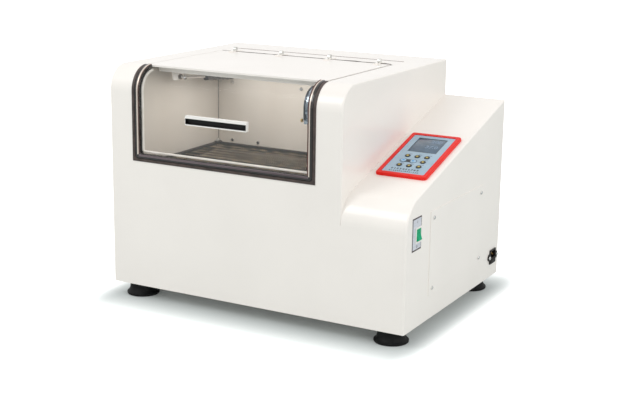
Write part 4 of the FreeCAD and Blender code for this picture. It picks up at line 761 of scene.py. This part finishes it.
def flatRing(name, x, s, ring):
    clearPick()
    bpy.ops.mesh.primitive_circle_add(vertices=ring["sides"], radius=ring["inner"] / perMetre)
    piece = bpy.context.object
    piece.name = name
    grow = ring["outer"] / ring["inner"]
    bpy.ops.object.mode_set(mode="EDIT")
    bpy.ops.mesh.select_all(action="SELECT")
    bpy.ops.mesh.extrude_edges_move(TRANSFORM_OT_translate={"value": (0, 0, 0)})
    bpy.ops.transform.resize(value=(grow, grow, 1))
    bpy.ops.mesh.select_all(action="SELECT")
    runSection(0, 0, ring["height"])
    bpy.ops.mesh.select_all(action="SELECT")
    bpy.ops.mesh.normals_make_consistent(inside=False)
    leaveEdit()
    return tipOntoSlope(piece, x, s, panel["ink"])


# a ring round each arrow key, and the black link between the two
ring = {"inner": 6.6, "outer": 7.6, "height": 0.2, "sides": 40}
rings = [flatRing("link", panel["middle"] + x, panel["keyRows"][1], ring) for x in (-panel["keyPitch"], 0)]
finish(joinPieces("arrow_key_rings", rings), "cabinet", inkSlate)
link = {"width": 13.4, "length": 10, "height": 0.4}
arrowLink = flatBlock("arrow_key_link", panel["middle"] - panel["keyPitch"] / 2, panel["keyRows"][1],
                      panel["ink"], link["width"], link["length"], link["height"])
finish(arrowLink, "cabinet", inkBlack)

# a dot on each key, and a short caption above each black one
keyNames = (("bottom_left", "bottom_middle", "bottom_right"), ("arrow_left", "arrow_right", "middle_right"),
            ("top_left", "top_middle", "top_right"))
keyDot = {"radius": 2.3, "height": 0.6, "lift": 0.2, "round": 0.3, "sides": 32}
caption = {"right": 3.5, "above": 8.2, "width": 6.5, "length": 1.3, "height": 0.1}
captions = []
for row, names in enumerate(keyNames):
    for column, name in enumerate(names):
        x = panel["middle"] + (column - 1) * panel["keyPitch"]
        s = panel["keyRows"][row]
        arrow = name.startswith("arrow")
        clearPick()
        bpy.ops.mesh.primitive_cylinder_add(vertices=keyDot["sides"], radius=keyDot["radius"] / perMetre,
                                            depth=keyDot["height"] / perMetre,
                                            location=(0, 0, keyDot["lift"] / perMetre))
        dot = bpy.context.object
        dot.name = "key_dot_" + name
        roundOff(dot, keyDot["round"])
        tipOntoSlope(dot, x, s, panel["capTop"])
        finish(dot, "key_" + name, keyCyan if arrow else keyYellow)
        if not arrow:
            captions.append(flatBlock("caption", x + caption["right"], s + caption["above"], panel["ink"],
                                      caption["width"], caption["length"], caption["height"]))
finish(joinPieces("key_captions", captions), "cabinet", inkSlate)


def flatText(text, size, look):
    clearPick()
    bpy.ops.object.text_add()
    label = bpy.context.object
    label.data.body = text
    label.data.size = size / perMetre
    label.data.extrude = look["thick"] / perMetre
    label.data.align_x, label.data.align_y = look["align"]
    label.data.resolution_u = look["steps"]
    label.data.offset = size / perMetre * look["boldShare"]
    bpy.ops.object.convert(target="MESH")
    return bpy.context.object


# plain figures: two number rows on the film, and two values on the display
panelText = {"thick": 0.05, "align": ("CENTER", "TOP_BASELINE"), "steps": 2, "boldShare": 1 / 22}
figures = [
    ("scale_numbers_upper", "0 1 2 3 4 5 6 7 8 9", -2, 136.4, panel["figureFoot"], 7.4, inkBlack),
    ("scale_numbers_lower", "0 1 2 3 4 5 6 7 8 9 0 1 2 3 4", -1, 128.6, panel["figureFoot"], 5.2, inkBlack),
    ("display_figures_upper", "200", 12, 254, display["figureFoot"], 15, inkPale),
    ("display_figures_lower", "37.0", 10, 232, display["figureFoot"], 15, inkPale),
]
for name, text, x, s, n, size, ink in figures:
    label = flatText(text, size, panelText)
    label.name = name
    tipOntoSlope(label, panel["middle"] + x, s, n)
    finish(label, "cabinet", ink)

# dark border round the display's picture
displayEdge = []
sideAway, endAway = (display["opening"] / 2 - display[width] / 2 - display["edge"]
                     for width in ("sideWidth", "endWidth"))
for side in (-1, 1):
    displayEdge.append(flatBlock("edge", panel["middle"] + side * sideAway, displayS, display["borderFoot"],
                                 display["sideWidth"], display["size"], display["borderHeight"]))
for side in (-1, 1):
    displayEdge.append(flatBlock("edge", panel["middle"], displayS + side * endAway, display["borderFoot"],
                                 display["size"], display["endWidth"], display["borderHeight"]))
finish(joinPieces("display_border", displayEdge), "cabinet", inkNavy)
print("control panel made")

# Power switch plate and marks on the pod's right side

plate = {"x": 325, "front": 24, "rear": 63, "low": 150, "high": 212, "thick": 0.5, "border": 2.7,
         "borderSunk": 0.02, "borderThick": 0.12, "hole": (35.9, 61.1, 163.9, 193.1), "firstInset": 1}


def sideFrame(name, x, hole, thick):
    # a flat frame of the plate's outline on the pod's side; hole is its front, rear, low and high
    low, high = spot(x, plate["front"], plate["low"]), spot(x, plate["rear"], plate["high"])
    a, b = spot(x, hole[0], hole[2]), spot(x, hole[1], hole[3])
    middle = (low + high) / 2
    clearPick()
    bpy.ops.mesh.primitive_plane_add(size=1, rotation=(0, quarter, 0))
    piece = settle(bpy.context.object, name)
    piece.scale = (1, high.y - low.y, high.z - low.z)
    piece.location = middle
    settle(piece, name)
    bpy.ops.object.mode_set(mode="EDIT")
    bpy.ops.mesh.select_all(action="SELECT")
    # the inner corners are cut a little way in, and then moved to the hole
    bpy.ops.mesh.inset(thickness=plate["firstInset"] / perMetre)
    cage = bmesh.from_edit_mesh(piece.data)
    for corner in [v for v in cage.verts if v.select]:
        corner.co.y = a.y if corner.co.y < middle.y else b.y
        corner.co.z = a.z if corner.co.z < middle.z else b.z
    bmesh.update_edit_mesh(piece.data)
    bpy.ops.mesh.delete(type="FACE")
    bpy.ops.mesh.select_all(action="SELECT")
    runSection(thick, 0, 0)
    bpy.ops.mesh.select_all(action="SELECT")
    bpy.ops.mesh.normals_make_consistent(inside=False)
    leaveEdit()
    return piece


switchPlate = sideFrame("switch_plate", plate["x"], plate["hole"], plate["thick"])
finish(switchPlate, "cabinet", plateFilm)
edge = plate["border"]
plateEdge = sideFrame("switch_plate_border", plate["x"] + plate["thick"] - plate["borderSunk"],
                      (plate["front"] + edge, plate["rear"] - edge / 2, plate["low"] + edge,
                       plate["high"] - edge), plate["borderThick"])
finish(plateEdge, "cabinet", plateBorder)

markText = {"thick": 0.06, "align": ("CENTER", "CENTER"), "steps": 3, "boldShare": 0}
marks = {"size": 8, "y": 45, "lift": 0.05,
         "places": {"switch_mark_on": ("1", 203), "switch_mark_off": ("0", 157)}}
for name, (text, z) in marks["places"].items():
    label = flatText(text, marks["size"], markText)
    label.matrix_world = (Matrix.Translation(spot(plate["x"] + plate["thick"] + marks["lift"], marks["y"], z))
                          @ Matrix.Rotation(quarter, 4, "Z") @ Matrix.Rotation(quarter, 4, "X"))
    finish(settle(label, name), "cabinet", plateBorder)

# brass blades over the inlet's contacts, the middle one higher
inlet = {"y": 434, "z": 47.75, "spread": 7, "tip": 324.1, "root": 311.8, "width": 2.2, "height": 4.2,
         "rise": 2, "round": 0.4}
blades = []
for side in (-1, 0, 1):
    y = inlet["y"] + side * inlet["spread"]
    z = inlet["z"] + (-inlet["rise"] if side else inlet["rise"])
    blade = addBlock("blade", (inlet["root"], y - inlet["width"] / 2, z - inlet["height"] / 2),
                     (inlet["tip"], y + inlet["width"] / 2, z + inlet["height"] / 2))
    blades.append(roundOff(blade, inlet["round"], 2))
finish(joinPieces("inlet_blades", blades), "cabinet", turnedBrass)
print("side panel pieces made")

# Stage, light and camera, from here on in metres and watts

# painted shadow: the paper's glow stays low over and near the casing's footprint and turns white a little way
# outside it, sooner at its ends
backdrop = {"size": 30, "colour": "ccd2d1", "half": (0.312, 0.215, 0), "stretch": (2, 1, 1), "near": 0.01,
            "far": 0.13, "curve": 2.0, "white": 1.1, "least": 0.05}
clearPick()
bpy.ops.mesh.primitive_plane_add(size=backdrop["size"])
floor = bpy.context.object
floor.name = "studio_floor"
floorPaper = bpy.data.materials.new("paper backdrop")
floorPaper.use_nodes = True
tree = floorPaper.node_tree
tree.nodes.clear()
rays = addNode(tree, "ShaderNodeLightPath")
paper = addNode(tree, "ShaderNodeBsdfDiffuse", {"Color": hexColour(backdrop["colour"])})
coords = addNode(tree, "ShaderNodeTexCoord")
reach = coords.outputs["Object"]
for settings in ({"operation": "ABSOLUTE"}, {"operation": "SUBTRACT", 1: backdrop["half"]},
                 {"operation": "MAXIMUM", 1: (0, 0, 0)}, {"operation": "MULTIPLY", 1: backdrop["stretch"]}):
    reach = addNode(tree, "ShaderNodeVectorMath", settings, {0: reach}).outputs[0]
reach = addNode(tree, "ShaderNodeVectorMath", {"operation": "LENGTH"}, {0: reach})
shadowFade = addNode(tree, "ShaderNodeMapRange", {"From Min": backdrop["near"], "From Max": backdrop["far"]},
               {"Value": reach.outputs["Value"]})
shadowFade = addNode(tree, "ShaderNodeMath", {"operation": "POWER", 1: backdrop["curve"]},
               {0: shadowFade.outputs["Result"]})
shadowFade = addNode(tree, "ShaderNodeMath",
               {"operation": "MULTIPLY_ADD", 1: backdrop["white"], 2: backdrop["least"]},
               {0: shadowFade.outputs[0]})
glow = addNode(tree, "ShaderNodeEmission", {"Color": (1, 1, 1, 1)}, {"Strength": shadowFade.outputs[0]})
both = addNode(tree, "ShaderNodeAddShader", links={0: paper.outputs[0], 1: glow.outputs[0]})
pick = addNode(tree, "ShaderNodeMixShader", links={"Fac": rays.outputs["Is Camera Ray"], 1: paper.outputs[0],
                                                   2: both.outputs[0]})
addNode(tree, "ShaderNodeOutputMaterial", links={"Surface": pick.outputs[0]})
floor.data.materials.append(floorPaper)

# the room lights the part a little less than the white that the camera and mirrors see
brightness = {"room": 0.82, "seen": 1.0}
world = bpy.data.worlds.new("studio")
bpy.context.scene.world = world
world.use_nodes = True
tree = world.node_tree
tree.nodes.clear()
rays = addNode(tree, "ShaderNodeLightPath")
seen = rays.outputs["Is Camera Ray"]
for kind in ("Is Glossy Ray", "Is Transmission Ray"):
    seen = addNode(tree, "ShaderNodeMath", {"operation": "MAXIMUM"},
                   {0: seen, 1: rays.outputs[kind]}).outputs[0]
room, white = (addNode(tree, "ShaderNodeBackground", {"Color": (1, 1, 1, 1), "Strength": brightness[which]})
               for which in ("room", "seen"))
pick = addNode(tree, "ShaderNodeMixShader", links={"Fac": seen, 1: room.outputs[0], 2: white.outputs[0]})
addNode(tree, "ShaderNodeOutputWorld", links={"Surface": pick.outputs[0]})

lamps = {
    "key_softbox": {"place": (-1.3, -2.2, 2.3), "size": 1.3, "power": 25},
    "top_softbox": {"place": (0.2, 0.2, 2.6), "size": 2.0, "power": 2},
    "side_softbox": {"place": (2.6, -0.6, 1.4), "size": 1.4, "power": 16},
}
lampTarget = Vector((0, 0, 0.2))
for name, lamp in lamps.items():
    clearPick()
    bpy.ops.object.light_add(type="AREA", location=lamp["place"])
    light = bpy.context.object
    light.name = name
    light.data.size = lamp["size"]
    light.data.energy = lamp["power"]
    light.rotation_euler = (lampTarget - Vector(lamp["place"])).to_track_quat("-Z", "Y").to_euler()

# a small lamp under the lid's top evens out the chamber, unseen itself
chamberLamp = {"place": spot(-66, 165, 420), "size": 0.3, "depth": 0.2, "power": 0.55}
clearPick()
bpy.ops.object.light_add(type="AREA", location=chamberLamp["place"])
light = bpy.context.object
light.name = "chamber_lamp"
light.data.shape = "RECTANGLE"
light.data.size, light.data.size_y = chamberLamp["size"], chamberLamp["depth"]
light.data.energy = chamberLamp["power"]
light.visible_camera = light.visible_glossy = light.visible_transmission = False

# the photo's camera: its distance, height and shifts are shares of the casing's width
view = {"azimuth": 28.893, "elevation": 13.701, "roll": 0.757, "width": 0.65, "distance": 3.988,
        "height": 0.35, "shiftRight": -0.004, "shiftUp": -0.097, "lens": 74.03, "sensor": 36, "farthest": 100}
azimuth, elevation, roll = (math.radians(view[angle]) for angle in ("azimuth", "elevation", "roll"))
outward = Vector((math.sin(azimuth) * math.cos(elevation), -math.cos(azimuth) * math.cos(elevation),
                  math.sin(elevation)))
rightWay = Vector((math.cos(azimuth), math.sin(azimuth), 0))
upWay = outward.cross(rightWay)
turnedRight = math.cos(roll) * rightWay + math.sin(roll) * upWay
turnedUp = -math.sin(roll) * rightWay + math.cos(roll) * upWay
width = view["width"]
eye = Vector((0, 0, view["height"] * width + casing["feet"] / perMetre)) + width * (
    view["shiftRight"] * turnedRight + view["shiftUp"] * turnedUp + view["distance"] * outward)
clearPick()
bpy.ops.object.camera_add()
camera = bpy.context.object
camera.name = "photo_camera"
camera.matrix_world = Matrix.Translation(eye) @ Matrix((turnedRight, turnedUp, outward)).transposed().to_4x4()
camera.data.lens = view["lens"]
camera.data.sensor_width = view["sensor"]
camera.data.clip_end = view["farthest"]
scene = bpy.context.scene
scene.camera = camera
scene.view_settings.view_transform = "Standard"
print("stage, lamps and camera set")
